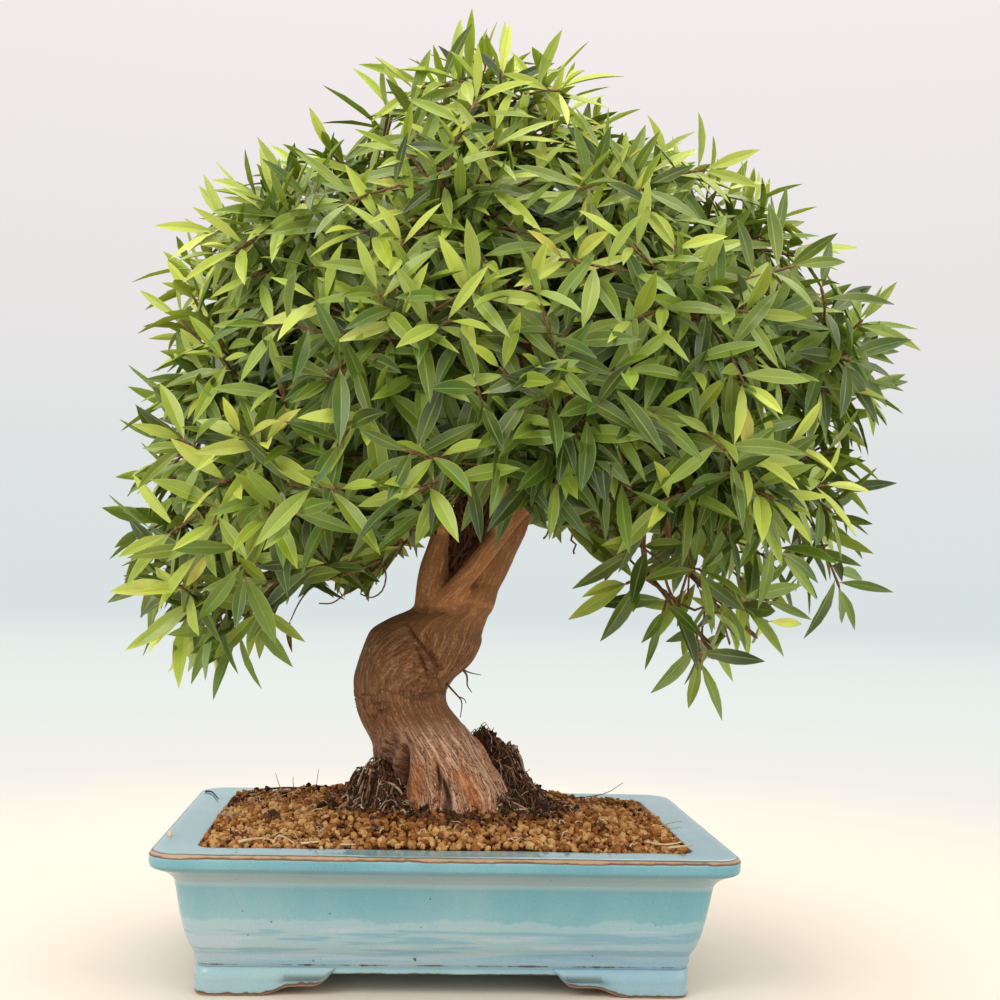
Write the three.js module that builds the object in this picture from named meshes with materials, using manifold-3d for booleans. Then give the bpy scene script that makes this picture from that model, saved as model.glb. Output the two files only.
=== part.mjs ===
// A willow leaf fig grown as a bonsai, in the blue glazed pot that it stands in.
// Millimetres, +Z up, the front of the tree facing -Y. The tree and the pot are worked out round the pot's
// centre, and the whole is then moved so that the origin is the middle of its footprint.

import * as THREE from "three";
import { mergeVertices } from "three/addons/utils/BufferGeometryUtils.js";
import Module from "manifold-3d";

const wasm = await Module();
wasm.setup();

// Driving dimensions of the pot
const POT_WIDTH = 460;
const POT_DEPTH = 330;
const POT_HEIGHT = 115;
const FOOT_HEIGHT = 17;
const FLOOR_TOP = 26;
const CORNER_RADIUS = 24;
const CORNER_STEPS = 3;
const DRAIN_RADIUS = 13;
const DRAIN_OFFSET = 110;

// Driving dimensions of the soil and of what stands in it
const GAP = 0.35;
const SOIL_EDGE = 110;
const SOIL_CROWN = 22;
const GRAIN_CELL = 22;
const GRAIN_RELIEF = 4;
const MAT_CENTRE = [4, 12];
const MAT_HALF = [104, 70];
const MAT_BOTTOM = 80;
const TRUNK_BOTTOM = 84;

// Driving dimensions of the crown
const CROWN_CENTRE = new THREE.Vector3(50, 0, 480);
const CROWN_DEPTH = 268;
const SPRAY_COUNT = 37;
const SPRAY_BASE = 0.58;
const LEAF_REACH = 44;
const LEAF_LENGTH = 60;
const LEAF_WIDTH = 14;
const SHOOT_COUNT = 4;
const LEAF_TRIES = 7;
const LEAVES_PER_SHOOT = 3;
const GOLDEN = Math.PI * (3 - Math.sqrt(5));

// The crown seen from the front, as the reach of its leaf tips from the crown's centre at an angle from +X.
const CROWN_OUTLINE = [
  [-180, 336], [-163, 376], [-152, 400], [-138, 374], [-123, 190], [-100, 118], [-64, 150],
  [-52, 335], [-36, 352], [-10, 345], [14, 366], [44, 324], [68, 292], [98, 350], [128, 310],
  [158, 350], [180, 336],
];

// Hanging and leading sprays that the even rule would miss, as [angle from +X, angle of depth]
const ODD_SPRAYS = [[-51, -20], [-141, -14], [98, -4], [6, 5], [-160, 6]];

const TURQUOISE_GLAZE = new THREE.MeshStandardMaterial({ color: 0x6fb4c4, roughness: 0.18, metalness: 0 });
const BARK = new THREE.MeshStandardMaterial({ color: 0x7d5539, roughness: 0.85, metalness: 0 });
const GRAIN = new THREE.MeshStandardMaterial({ color: 0xc08a4c, roughness: 0.95, metalness: 0 });
const PEAT = new THREE.MeshStandardMaterial({ color: 0x3f2c1d, roughness: 0.98, metalness: 0 });
const MESH_PLASTIC = new THREE.MeshStandardMaterial({ color: 0x26282a, roughness: 0.6, metalness: 0 });
const OLD_LEAF = new THREE.MeshStandardMaterial({ color: 0x4d7a32, roughness: 0.42, metalness: 0 });
const YOUNG_LEAF = new THREE.MeshStandardMaterial({ color: 0x8fb83f, roughness: 0.4, metalness: 0 });

// A repeatable draw from 0 to 1 for a whole number
function chance(number) {
  const wave = Math.sin(number * 12.9898 + 4.1414) * 43758.5453;
  return wave - Math.floor(wave);
}

const mix = (a, b, share) => a + (b - a) * share;

// The height of a smooth step from 0 to 1 as value goes from low to high
function ease(value, low, high) {
  const t = Math.min(1, Math.max(0, (value - low) / (high - low)));
  return t * t * (3 - 2 * t);
}

// Reads a list of [place, value, value, ...] rows at a place, easing from row to row
function readRows(rows, place) {
  const next = Math.max(1, rows.findIndex((row) => row[0] >= place));
  const [low, high] = [rows[next - 1], rows[next]];
  const share = Math.min(1, Math.max(0, (place - low[0]) / (high[0] - low[0])));
  return low.slice(1).map((value, k) => mix(value, high[k + 1], share));
}

// A closed skin through rings of points. All rings have as many points, or one point where the skin closes.
function skin(rings) {
  const starts = [];
  let count = 0;
  for (const ring of rings) {
    starts.push(count);
    count += ring.length;
  }
  const faces = [];
  for (let r = 0; r + 1 < rings.length; r++) {
    const [low, high] = [starts[r], starts[r + 1]];
    const [lowSize, highSize] = [rings[r].length, rings[r + 1].length];
    const sides = Math.max(lowSize, highSize);
    for (let s = 0; s < sides; s++) {
      const t = (s + 1) % sides;
      if (lowSize > 1) faces.push(low + s, low + t, high + (highSize > 1 ? t : 0));
      if (highSize > 1) faces.push(low + (lowSize > 1 ? s : 0), high + t, high + s);
    }
  }
  for (let s = 1; s + 1 < rings[0].length; s++) faces.push(0, s + 1, s);
  const last = starts[rings.length - 1];
  for (let s = 1; s + 1 < rings[rings.length - 1].length; s++) faces.push(last, last + s, last + s + 1);
  const geometry = new THREE.BufferGeometry().setFromPoints(rings.flat());
  return geometry.setIndex(faces);
}

// A solid that can be joined and cut
function solid(geometry) {
  const bare = geometry.clone();
  for (const name of Object.keys(bare.attributes)) {
    if (name !== "position") bare.deleteAttribute(name);
  }
  const merged = mergeVertices(bare, 1e-4);
  return new wasm.Manifold(new wasm.Mesh({
    numProp: 3,
    vertProperties: merged.attributes.position.array,
    triVerts: new Uint32Array(merged.index.array),
  }));
}

// Solids joined to one body, with no sealed hollow and no loose scrap
function join(solids) {
  const bodies = solids.reduce((whole, next) => whole.add(next)).decompose();
  return bodies.reduce((best, body) => (body.volume() > best.volume() ? body : best));
}

// A named mesh from a solid
function piece(name, body, material) {
  const { vertProperties, triVerts } = body.getMesh();
  const geometry = new THREE.BufferGeometry()
    .setAttribute("position", new THREE.BufferAttribute(vertProperties, 3))
    .setIndex(new THREE.BufferAttribute(triVerts, 1));
  geometry.computeVertexNormals();
  const mesh = new THREE.Mesh(geometry, material);
  mesh.name = name;
  return mesh;
}

// The pot

// A ring of the pot: its rounded rectangle, inset from the rim's outer edge, at a height
function potRing(inset, height) {
  const radius = CORNER_RADIUS - inset / 3;
  const [halfWidth, halfDepth] = [POT_WIDTH / 2 - inset - radius, POT_DEPTH / 2 - inset - radius];
  const corners = [[1, 1], [-1, 1], [-1, -1], [1, -1]];
  return corners.flatMap(([sideX, sideY], corner) =>
    Array.from({ length: CORNER_STEPS + 1 }, (_, step) => {
      const angle = (corner + step / CORNER_STEPS) * Math.PI / 2;
      const x = sideX * halfWidth + radius * Math.cos(angle);
      return new THREE.Vector3(x, sideY * halfDepth + radius * Math.sin(angle), height);
    }));
}

// The wall's section as [inset, height], up the outside, over the lip and down the inside
const OUTER_WALL = [
  [37, FOOT_HEIGHT], [37, 22], [35, 25.5], [34.5, 32], [31, 38], [26.5, 50], [22.5, 66], [19.5, 81],
  [17, 91], [12.5, 97], [4, 100.5], [0.8, 102.5], [0, 105.5], [0, 111], [1.6, 114],
];
const LIP = [[4.5, POT_HEIGHT], [32.5, POT_HEIGHT - 0.7], [35, 112.5]];
const INNER_WALL = [[35, 106.5], [28, 101], [29.5, 80], [34, 54], [39, 38], [46, FLOOR_TOP]];

// The foot's outline along a side of the pot, as [distance from the corner, height]
const FOOT_TOP = 22;
const FOOT_OUTLINE = [
  [0, FOOT_TOP], [0, 0], [50, 0], [57, 1.2], [69, 6], [77, 7.1], [93, 7.2], [100, 9.6], [109, FOOT_TOP],
];
const FOOT_INSET = 35;
const FOOT_THICK = 16;
const SIDE_FOOT_SHARE = 0.74;

// A foot's plate along one side: its outline, as long as share says, extruded inwards
function footPlate(share) {
  const outline = new THREE.Shape(FOOT_OUTLINE.map(([along, height]) =>
    new THREE.Vector2(along * share, height)));
  return new THREE.ExtrudeGeometry(outline, { depth: FOOT_THICK, bevelEnabled: false }).rotateX(Math.PI / 2);
}

// The four feet: two plates meet at each corner, and one rounded block trims them all
function feet() {
  const [halfWidth, halfDepth] = [POT_WIDTH / 2 - FOOT_INSET, POT_DEPTH / 2 - FOOT_INSET];
  const plates = [0, Math.PI].flatMap((turn) => [
    footPlate(1).translate(-halfWidth, FOOT_THICK - halfDepth, 0).rotateZ(turn),
    footPlate(1).rotateZ(Math.PI).translate(halfWidth, -halfDepth, 0).rotateZ(turn),
    footPlate(SIDE_FOOT_SHARE).rotateZ(-Math.PI / 2)
      .translate(FOOT_THICK - halfWidth, halfDepth, 0).rotateZ(turn),
    footPlate(SIDE_FOOT_SHARE).rotateZ(Math.PI / 2).translate(-halfWidth, -halfDepth, 0).rotateZ(turn),
  ]);
  const block = [[4, 0], [0, 5], [0, FOOT_TOP]].map(([inset, z]) => potRing(FOOT_INSET + inset, z));
  return plates.map(solid).reduce((whole, plate) => whole.add(plate)).intersect(solid(skin(block)));
}

function pot() {
  const wall = [...OUTER_WALL, ...LIP, ...INNER_WALL].map(([inset, z]) => potRing(inset, z));
  let body = solid(skin(wall)).add(feet());
  for (const side of [-1, 1]) {
    const drain = new THREE.CylinderGeometry(DRAIN_RADIUS, DRAIN_RADIUS, 3 * FLOOR_TOP, 14);
    body = body.subtract(solid(drain.rotateX(Math.PI / 2).translate(side * DRAIN_OFFSET, 0, FLOOR_TOP)));
  }
  return body;
}

// The drain mesh: a plastic grid over each drain hole, under the soil
const MESH_HALF = 18;
const MESH_THICK = 1.2;
const MESH_BARS = 3;
const MESH_OPENING = 8;
const MESH_PITCH = 10.5;

function drainMesh(x) {
  let grid = solid(new THREE.BoxGeometry(2 * MESH_HALF, 2 * MESH_HALF, MESH_THICK));
  for (let row = 0; row < MESH_BARS; row++) {
    for (let column = 0; column < MESH_BARS; column++) {
      const opening = new THREE.BoxGeometry(MESH_OPENING, MESH_OPENING, 2 * MESH_THICK);
      grid = grid.subtract(solid(opening.translate((row - 1) * MESH_PITCH, (column - 1) * MESH_PITCH, 0)));
    }
  }
  return grid.translate([x, 0, FLOOR_TOP + GAP + MESH_THICK / 2]);
}

// The soil

// How far the soil rises above its edge, in a mound round the trunk
function soilRise(x, y) {
  return SOIL_CROWN * Math.exp(-((x / 150) ** 2) - (y / 95) ** 2);
}

// The soil's height: its mound, with a relief of coarse grains
function soilHeight(x, y) {
  const cell = Math.round(x / GRAIN_CELL) * 57 + Math.round(y / GRAIN_CELL) * 131;
  return SOIL_EDGE + soilRise(x, y) + GRAIN_RELIEF * (chance(cell) - 0.5);
}

// A block whose top is the soil's surface on a grid, later trimmed to the inside of the pot
function soilBlock() {
  const [columns, rows] = [POT_WIDTH, POT_DEPTH].map((span) => Math.ceil((span - 60) / GRAIN_CELL));
  const grid = new THREE.PlaneGeometry(columns * GRAIN_CELL, rows * GRAIN_CELL, columns, rows);
  const flat = grid.attributes.position;
  const at = (column, row) => {
    const n = row * (columns + 1) + column;
    const shift = (seed) => (chance(n * 3 + seed) - 0.5) * GRAIN_CELL * 0.5;
    const [x, y] = [flat.getX(n) + shift(1), flat.getY(n) + shift(2)];
    return new THREE.Vector3(x, y, soilHeight(flat.getX(n), flat.getY(n)));
  };
  const points = [];
  for (let row = 0; row <= rows; row++) {
    for (let column = 0; column <= columns; column++) points.push(at(column, row));
  }
  const edge = [];
  for (let column = 0; column < columns; column++) edge.push(column);
  for (let row = 0; row < rows; row++) edge.push(row * (columns + 1) + columns);
  for (let column = columns; column > 0; column--) edge.push(rows * (columns + 1) + column);
  for (let row = rows; row > 0; row--) edge.push(row * (columns + 1));
  const faces = [...grid.index.array];
  const bottom = points.length;
  for (const n of edge) points.push(points[n].clone().setZ(0));
  const middle = points.length;
  points.push(new THREE.Vector3());
  edge.forEach((n, k) => {
    const next = (k + 1) % edge.length;
    faces.push(n, edge[next], bottom + k, edge[next], bottom + next, bottom + k);
    faces.push(bottom + k, bottom + next, middle);
  });
  return new THREE.BufferGeometry().setFromPoints(points).setIndex(faces);
}

function soil() {
  const [[neck, neckBottom], ...belly] = INNER_WALL;
  const inside = [
    ...belly.reverse().map(([inset, z]) => potRing(inset + GAP, Math.max(z, FLOOR_TOP + GAP))),
    potRing(neck + GAP, neckBottom - GAP),
    potRing(neck + GAP, POT_HEIGHT + 20),
  ];
  const [halfX, halfY] = MAT_HALF.map((half) => half + GAP);
  const hole = [MAT_BOTTOM - GAP, POT_HEIGHT + 40].map((z) => ellipse(halfX, halfY, z));
  let body = solid(soilBlock()).intersect(solid(skin(inside))).subtract(solid(skin(hole)));
  const [wide, tall] = [2 * (MESH_HALF + GAP), 2 * (MESH_THICK + 2 * GAP)];
  for (const side of [-1, 1]) {
    const pocket = new THREE.BoxGeometry(wide, wide, tall).translate(side * DRAIN_OFFSET, 0, FLOOR_TOP);
    body = body.subtract(solid(pocket));
  }
  return join([body]);
}

// The root mat: a mound of fine roots, peat and moss round the foot of the trunk
const MAT_SIDES = 20;

function ellipse(halfX, halfY, z) {
  return Array.from({ length: MAT_SIDES }, (_, k) => {
    const angle = k / MAT_SIDES * 2 * Math.PI;
    const [x, y] = [halfX * Math.cos(angle), halfY * Math.sin(angle)];
    return new THREE.Vector3(MAT_CENTRE[0] + x, MAT_CENTRE[1] + y, z);
  });
}

// Two heaps behind the trunk, to its right and to its left, on the soil's mound
function matHeight(x, y) {
  const heap = (height, cx, cy, wide, deep) =>
    height * Math.exp(-(((x - cx) / wide) ** 2) - ((y - cy) / deep) ** 2);
  const lumps = 3 * Math.sin(x / 6.1) * Math.cos(y / 5.3);
  return SOIL_EDGE + 6 + soilRise(x, y) + heap(45, 40, 32, 38, 32) + heap(26, -56, 18, 24, 28) + lumps;
}

function rootMat() {
  const rings = [ellipse(MAT_HALF[0], MAT_HALF[1], MAT_BOTTOM)];
  for (const share of [1, 0.8, 0.62, 0.45, 0.28]) {
    const ring = ellipse(MAT_HALF[0] * share, MAT_HALF[1] * share, 0);
    rings.push(ring.map((p) => p.setZ(share === 1 ? SOIL_EDGE + 4 + soilRise(p.x, p.y) : matHeight(p.x, p.y))));
  }
  rings.push([new THREE.Vector3(...MAT_CENTRE, matHeight(...MAT_CENTRE))]);
  return solid(skin(rings)).subtract(solid(trunkSkin(GAP)));
}

// The trunk

// The trunk's level sections as [height, centre x, centre y, half width, half depth]
const TRUNK_SECTIONS = [
  [TRUNK_BOTTOM, 3, 2, 57, 50], [124, 3, 2, 56, 49], [137, 2, 1, 52, 46], [150, -3, 0, 48, 43],
  [175, -15, -2, 45, 41], [200, -30, -4, 44, 40], [218, -39, -5, 41, 40], [235, -40, -6, 43, 42],
  [253, -31, -6, 50, 44], [271, -22, -5, 51, 44], [281, -15, -4, 48, 42], [292, -4, -2, 41, 38],
  [303, 5, 0, 36, 34], [325, 10, 2, 38, 31], [346, 13, 4, 40, 28],
];
const TRUNK_SIDES = 18;

// The root flare's buttresses as [angle in degrees, height of the ridge, half width in degrees]
const BUTTRESSES = [
  [-118, 0.12, 12], [-90, 0.16, 16], [-52, 0.18, 18], [-8, 0.15, 20], [40, 0.16, 18],
  [92, 0.15, 18], [140, 0.16, 18], [188, 0.14, 16],
];

// How far a point of the trunk stands out from its plain section, as a share of the section's radius
function trunkRelief(degrees, z) {
  const fade = 1 - ease(z, 140, 215);
  const ridges = BUTTRESSES.reduce((sum, [at, height, width]) => {
    const away = ((degrees - at) % 360 + 540) % 360 - 180;
    return sum + height * Math.exp(-((away / width) ** 2));
  }, -0.07);
  const knots = 0.03 * Math.sin(degrees * 3 * Math.PI / 180 + z / 19) * ease(z, 150, 220);
  return 1 + fade * ridges + knots;
}

function trunkSkin(grow) {
  const rings = TRUNK_SECTIONS.map(([z, cx, cy, halfX, halfY]) =>
    Array.from({ length: TRUNK_SIDES }, (_, k) => {
      const angle = k / TRUNK_SIDES * 2 * Math.PI;
      const out = trunkRelief(THREE.MathUtils.radToDeg(angle), z);
      const [x, y] = [(halfX * out + grow) * Math.cos(angle), (halfY * out + grow) * Math.sin(angle)];
      return new THREE.Vector3(cx + x, cy + y, z);
    }));
  const [low, high] = [TRUNK_SECTIONS[0], TRUNK_SECTIONS.at(-1)];
  rings[0].forEach((p) => p.setZ(low[0] - grow));
  const bottom = new THREE.Vector3(low[1], low[2], low[0] - grow);
  return skin([[bottom], ...rings, [new THREE.Vector3(high[1], high[2], high[0] + 8)]]);
}

// Limbs and branches

// The limbs as [first radius, last radius, points along it]
const LIMBS = {
  left: [17, 8, [[-8, -10, 300], [-13, -14, 350], [-19, -18, 395], [-52, -22, 440], [-92, -18, 478]]],
  lowLeft: [10, 6, [[-17, -16, 372], [-58, -30, 396], [-108, -40, 404]]],
  middle: [14, 7, [[6, -20, 305], [30, -32, 352], [54, -46, 388], [96, -62, 420], [134, -66, 430]]],
  leader: [26, 9, [[10, 4, 296], [36, 8, 354], [58, 10, 402], [64, 8, 470], [52, 4, 545], [46, 0, 590]]],
  back: [15, 7, [[12, 18, 305], [22, 34, 360], [34, 66, 412], [44, 104, 448]]],
  right: [15, 7, [[60, 10, 396], [98, 18, 436], [150, 20, 468], [186, 16, 486]]],
  lowRight: [9, 5, [[88, -58, 412], [132, -62, 392], [168, -64, 362]]],
  front: [10, 6, [[30, -34, 356], [36, -66, 402], [42, -106, 444]]],
  topLeft: [11, 6, [[64, 8, 466], [26, -2, 516], [-26, -10, 556]]],
  topRight: [11, 6, [[60, 6, 498], [104, 4, 544], [140, 0, 578]]],
};
const LIMB_SIDES = 6;
const LIMB_STEPS = 4;
const BRANCH_SIDES = 3;
const BRANCH_STEPS = 2;
const BRANCH_RADII = [5, 3];

// A round bar along a curve, thinning from one radius to the other, with flat ends
function bar(curve, sides, steps, [first, last]) {
  const frames = curve.computeFrenetFrames(steps, false);
  const rings = Array.from({ length: steps + 1 }, (_, step) => {
    const centre = curve.getPointAt(step / steps);
    const radius = mix(first, last, step / steps);
    return Array.from({ length: sides }, (_, side) => {
      const angle = side / sides * 2 * Math.PI;
      return centre.clone()
        .addScaledVector(frames.normals[step], radius * Math.cos(angle))
        .addScaledVector(frames.binormals[step], radius * Math.sin(angle));
    });
  });
  return skin(rings);
}

const limbCurves = Object.fromEntries(Object.entries(LIMBS).map(([name, [, , places]]) =>
  [name, new THREE.CatmullRomCurve3(places.map((place) => new THREE.Vector3(...place)))]));

// The crown and its sprays

// How far the crown's leaf tips reach at an angle, in degrees, seen from the front
function crownRadius(degrees) {
  const turn = ((degrees + 180) % 360 + 360) % 360 - 180;
  return readRows(CROWN_OUTLINE, turn)[0];
}

// A spray's axis: out of the crown's centre towards a point of the crown's surface
function sprayAxis(angle, depthAngle) {
  const reach = crownRadius(THREE.MathUtils.radToDeg(angle));
  const surface = new THREE.Vector3(
    reach * Math.cos(depthAngle) * Math.cos(angle),
    CROWN_DEPTH * Math.sin(depthAngle),
    reach * Math.cos(depthAngle) * Math.sin(angle),
  );
  const open = reach < 170 && Math.cos(depthAngle) > 0.72;
  return { reach: surface.length(), axis: surface.normalize(), open };
}

// Sprays spread evenly over the crown by the golden angle, none of them where the trunk comes in
function crownSprays() {
  const even = Array.from({ length: SPRAY_COUNT }, (_, k) =>
    sprayAxis(k * GOLDEN + 0.6, Math.asin(1 - 2 * (k + 0.5) / SPRAY_COUNT)));
  const odd = ODD_SPRAYS.map((angles) => sprayAxis(...angles.map(THREE.MathUtils.degToRad)));
  return [...even.filter((spray) => !spray.open), ...odd].map(({ axis, reach }, number) => {
    const across = new THREE.Vector3(0.31, 0.17, 0.93).cross(axis).normalize();
    const base = CROWN_CENTRE.clone().addScaledVector(axis, SPRAY_BASE * reach);
    const length = (1 - SPRAY_BASE) * reach - LEAF_REACH;
    return { number, axis, across, upright: axis.clone().cross(across), base, length };
  });
}

// The branch that carries a spray, from the nearest limb to the foot of the spray
function branchCurve(spray) {
  let best = null;
  for (const curve of Object.values(limbCurves)) {
    for (const step of [0.58, 0.68, 0.78, 0.88]) {
      const share = step + 0.1 * chance(spray.number + 0.5);
      const start = curve.getPointAt(share);
      const away = start.distanceTo(spray.base) + 60 * (1 - share);
      if (!best || away < best.away) best = { away, start, along: curve.getTangentAt(share) };
    }
  }
  const pull = 0.35 * best.start.distanceTo(spray.base);
  return new THREE.CubicBezierCurve3(
    best.start,
    best.start.clone().addScaledVector(best.along, pull),
    spray.base.clone().addScaledVector(spray.axis, -pull),
    spray.base,
  );
}

function trunk(branches, grow) {
  const limbs = Object.entries(LIMBS).map(([name, [first, last]]) =>
    bar(limbCurves[name], LIMB_SIDES, LIMB_STEPS, [first + grow, last + grow]));
  const radii = BRANCH_RADII.map((radius) => radius + grow);
  const arms = branches.map((curve) => bar(curve, BRANCH_SIDES, BRANCH_STEPS, radii));
  return join([trunkSkin(grow), ...limbs, ...arms].map(solid));
}

// A spray's shoots: the first runs out along the axis, the others leave it on all sides
function shootsOf(spray) {
  return Array.from({ length: SHOOT_COUNT }, (_, j) => {
    const seed = spray.number * 100 + j;
    const turn = j * GOLDEN + spray.number * 1.7;
    const spread = j ? 30 + 16 * chance(seed) : 0;
    const foot = j ? spray.length * (0.24 * j - 0.1) : GAP;
    const reach = j ? spray.length * mix(0.62, 0.86, chance(seed + 50)) : spray.length;
    const start = spray.base.clone().addScaledVector(spray.axis, foot);
    const tip = spray.base.clone().addScaledVector(spray.axis, reach)
      .addScaledVector(spray.across, spread * Math.cos(turn))
      .addScaledVector(spray.upright, spread * Math.sin(turn));
    const along = tip.clone().sub(start).normalize();
    return { seed, start, tip, along, radii: j ? SIDE_TWIG_RADII : TWIG_RADII };
  });
}

// A leaf's place on its shoot: its foot, the way it points, its face and its size
function leafOf(spray, shoot, k) {
  const seed = shoot.seed * 10 + k;
  const turn = k * GOLDEN + shoot.seed;
  const side = new THREE.Vector3(0.31, 0.17, 0.93).cross(shoot.along).normalize();
  const other = shoot.along.clone().cross(side);
  const lean = THREE.MathUtils.degToRad(k ? mix(44, 76, chance(seed)) : 14);
  const foot = shoot.tip.clone().addScaledVector(shoot.along, -3 - 5 * k);
  const way = shoot.along.clone().multiplyScalar(Math.cos(lean))
    .addScaledVector(side, Math.sin(lean) * Math.cos(turn))
    .addScaledVector(other, Math.sin(lean) * Math.sin(turn));
  way.z -= 0.28;
  way.normalize();
  const face = spray.axis.clone().multiplyScalar(0.8);
  face.z += 0.7;
  face.addScaledVector(way, -face.dot(way)).normalize();
  const edge = way.clone().cross(face);
  const size = mix(0.82, 1.06, chance(seed + 7));
  return { foot, way, face, edge, length: LEAF_LENGTH * size, width: LEAF_WIDTH * size };
}

// The blade's stations as [share of the length, share of the half width]
const BLADE_STATIONS = [[0.3, 0.92], [0.64, 0.84]];
const TWIG_SIDES = 3;
const TWIG_RADII = [2.9, 1.9];
const SIDE_TWIG_RADII = [1.6, 1.6];
const BLADE_THICK = 1.3;
const BLADE_DROOP = 0.16;

// A lance-shaped blade: flat on top with a rib below, arched along its length, closing in a point
function blade(leaf) {
  const at = (share, sideways, up) => leaf.foot.clone()
    .addScaledVector(leaf.way, leaf.length * share)
    .addScaledVector(leaf.edge, leaf.width * sideways)
    .addScaledVector(leaf.face, up - leaf.length * BLADE_DROOP * share * share);
  const rings = BLADE_STATIONS.map(([share, half]) =>
    [at(share, half / 2, 0.4), at(share, 0, -BLADE_THICK), at(share, -half / 2, 0.4)]);
  return [[at(0, 0, 0)], ...rings, [at(1, 0, 0)]];
}

// True where every point is inside a spray's own cone of the crown and beyond the spray's base
function isInside(points, spray, sprays) {
  return points.every((p) => {
    const out = p.clone().sub(CROWN_CENTRE);
    const inCone = sprays.every((other) => {
      const towards = spray.axis.clone().sub(other.axis);
      return other === spray || out.dot(towards) > GAP * towards.length();
    });
    return inCone && p.clone().sub(spray.base).dot(spray.axis) > GAP;
  });
}

// A spray: its shoots, each with the leaves that fit there without crossing another leaf or the wood
function sprayOf(spray, sprays, nearWood) {
  const apart = (body, others) => others.every((other) => other.intersect(body).isEmpty());
  const twigs = [];
  const blades = [];
  for (const shoot of shootsOf(spray)) {
    const twig = solid(bar(new THREE.LineCurve3(shoot.start, shoot.tip), TWIG_SIDES, 1, shoot.radii));
    if (!isInside([shoot.tip], spray, sprays) || !apart(twig, [nearWood, ...blades])) continue;
    const kept = [];
    for (let k = 0; k < LEAF_TRIES && kept.length < LEAVES_PER_SHOOT; k++) {
      const rings = blade(leafOf(spray, shoot, k));
      if (!isInside(rings.flat(), spray, sprays)) continue;
      const leaf = solid(skin(rings));
      if (apart(leaf, [nearWood, ...twigs, ...blades, ...kept])) kept.push(leaf);
    }
    if (twigs.length && !kept.length) continue;
    twigs.push(twig);
    blades.push(...kept);
  }
  return join([...twigs, ...blades]);
}

// The whole

const bonsai = new THREE.Group();
const sprays = crownSprays();
const branches = sprays.map(branchCurve);
const nearWood = trunk(branches, 1);

bonsai.add(
  piece("pot", pot(), TURQUOISE_GLAZE),
  piece("drain_mesh_left", drainMesh(-DRAIN_OFFSET), MESH_PLASTIC),
  piece("drain_mesh_right", drainMesh(DRAIN_OFFSET), MESH_PLASTIC),
  piece("soil", soil(), GRAIN),
  piece("root_mat", rootMat(), PEAT),
  piece("trunk", trunk(branches, 0), BARK),
);
for (const spray of sprays) {
  const name = `leaf_spray_${String(spray.number + 1).padStart(2, "0")}`;
  const material = chance(spray.number) > 0.6 ? YOUNG_LEAF : OLD_LEAF;
  bonsai.add(piece(name, sprayOf(spray, sprays, nearWood), material));
}

// The origin is the middle of the footprint of the whole, at the bottom of the feet
const box = new THREE.Box3().setFromObject(bonsai);
bonsai.position.set(-(box.min.x + box.max.x) / 2, -(box.min.y + box.max.y) / 2, -box.min.z);

export default bonsai;
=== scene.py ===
# %% [markdown]
# # A willow leaf fig grown as a bonsai
#
# The tree stands in a glazed pot on four scrolled feet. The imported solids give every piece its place. Each of
# them is coarse, so this lesson replaces them, one after the other, with a finer surface in the same place:
# the pot, the soil with its grains, the mat of roots, the trunk and its branches, and the leafy sprays.
# All shapes are worked out in millimetres round the middle of the pot and turned to metres at the very end.

import bpy
import numpy as np

from mathutils import Matrix, Vector


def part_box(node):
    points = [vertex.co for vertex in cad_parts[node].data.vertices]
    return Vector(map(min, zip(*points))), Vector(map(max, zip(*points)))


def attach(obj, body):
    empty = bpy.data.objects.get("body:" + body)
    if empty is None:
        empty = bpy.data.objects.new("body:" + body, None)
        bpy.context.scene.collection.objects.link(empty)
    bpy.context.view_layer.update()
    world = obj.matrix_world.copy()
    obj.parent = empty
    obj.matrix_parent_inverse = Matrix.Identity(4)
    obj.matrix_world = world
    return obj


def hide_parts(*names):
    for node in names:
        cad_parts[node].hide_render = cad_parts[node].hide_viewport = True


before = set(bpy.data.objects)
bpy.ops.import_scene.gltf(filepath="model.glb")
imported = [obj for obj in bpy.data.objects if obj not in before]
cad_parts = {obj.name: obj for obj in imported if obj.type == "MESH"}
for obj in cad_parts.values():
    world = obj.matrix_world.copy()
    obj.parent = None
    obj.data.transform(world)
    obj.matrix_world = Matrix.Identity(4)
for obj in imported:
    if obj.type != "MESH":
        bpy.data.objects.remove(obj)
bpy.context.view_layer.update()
pot_low, pot_high = (np.array(corner) * 1000 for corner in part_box("pot"))
POT_CENTRE = np.array([*(pot_low + pot_high)[:2] / 2, pot_low[2]])
print("solids", len(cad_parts), "pot centre", POT_CENTRE.round(2), "pot size", (pot_high - pot_low).round(1))

# %% [markdown]
# ## Repeatable chance and smooth noise
#
# A plant looks alive because no two leaves are alike, yet the picture must come out the same each time. A hash
# gives a draw for each number without a hidden state. The same hash at the corners of a lattice, blended
# smoothly between them, gives noise that can push a surface about.

# %% Draws, blends and noise
GOLDEN = np.pi * (3 - np.sqrt(5))
SKEW = np.array([0.31, 0.17, 0.93])


def chance(number):
    """A draw from 0 to 1 for a number: what is left after the point of a large, fast sine."""
    wave = np.sin(np.asarray(number, float) * 12.9898 + 4.1414) * 43758.5453
    return wave - np.floor(wave)


def mix(first, last, share):
    """The value that lies a share of the way from first to last."""
    return first + (last - first) * share


def ease(value, low, high):
    """A smooth step from 0 at low to 1 at high: three times the square less twice the cube."""
    t = np.clip((value - low) / (high - low), 0, 1)
    return t * t * (3 - 2 * t)


def unit(vectors):
    """Vectors of length one along the last axis."""
    return vectors / np.maximum(np.linalg.norm(vectors, axis=-1, keepdims=True), 1e-9)


def bell(*parts):
    """A bell from 0 to 1: e to the power of less the sum of the parts' squares."""
    return np.exp(-sum(part ** 2 for part in parts))


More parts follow.
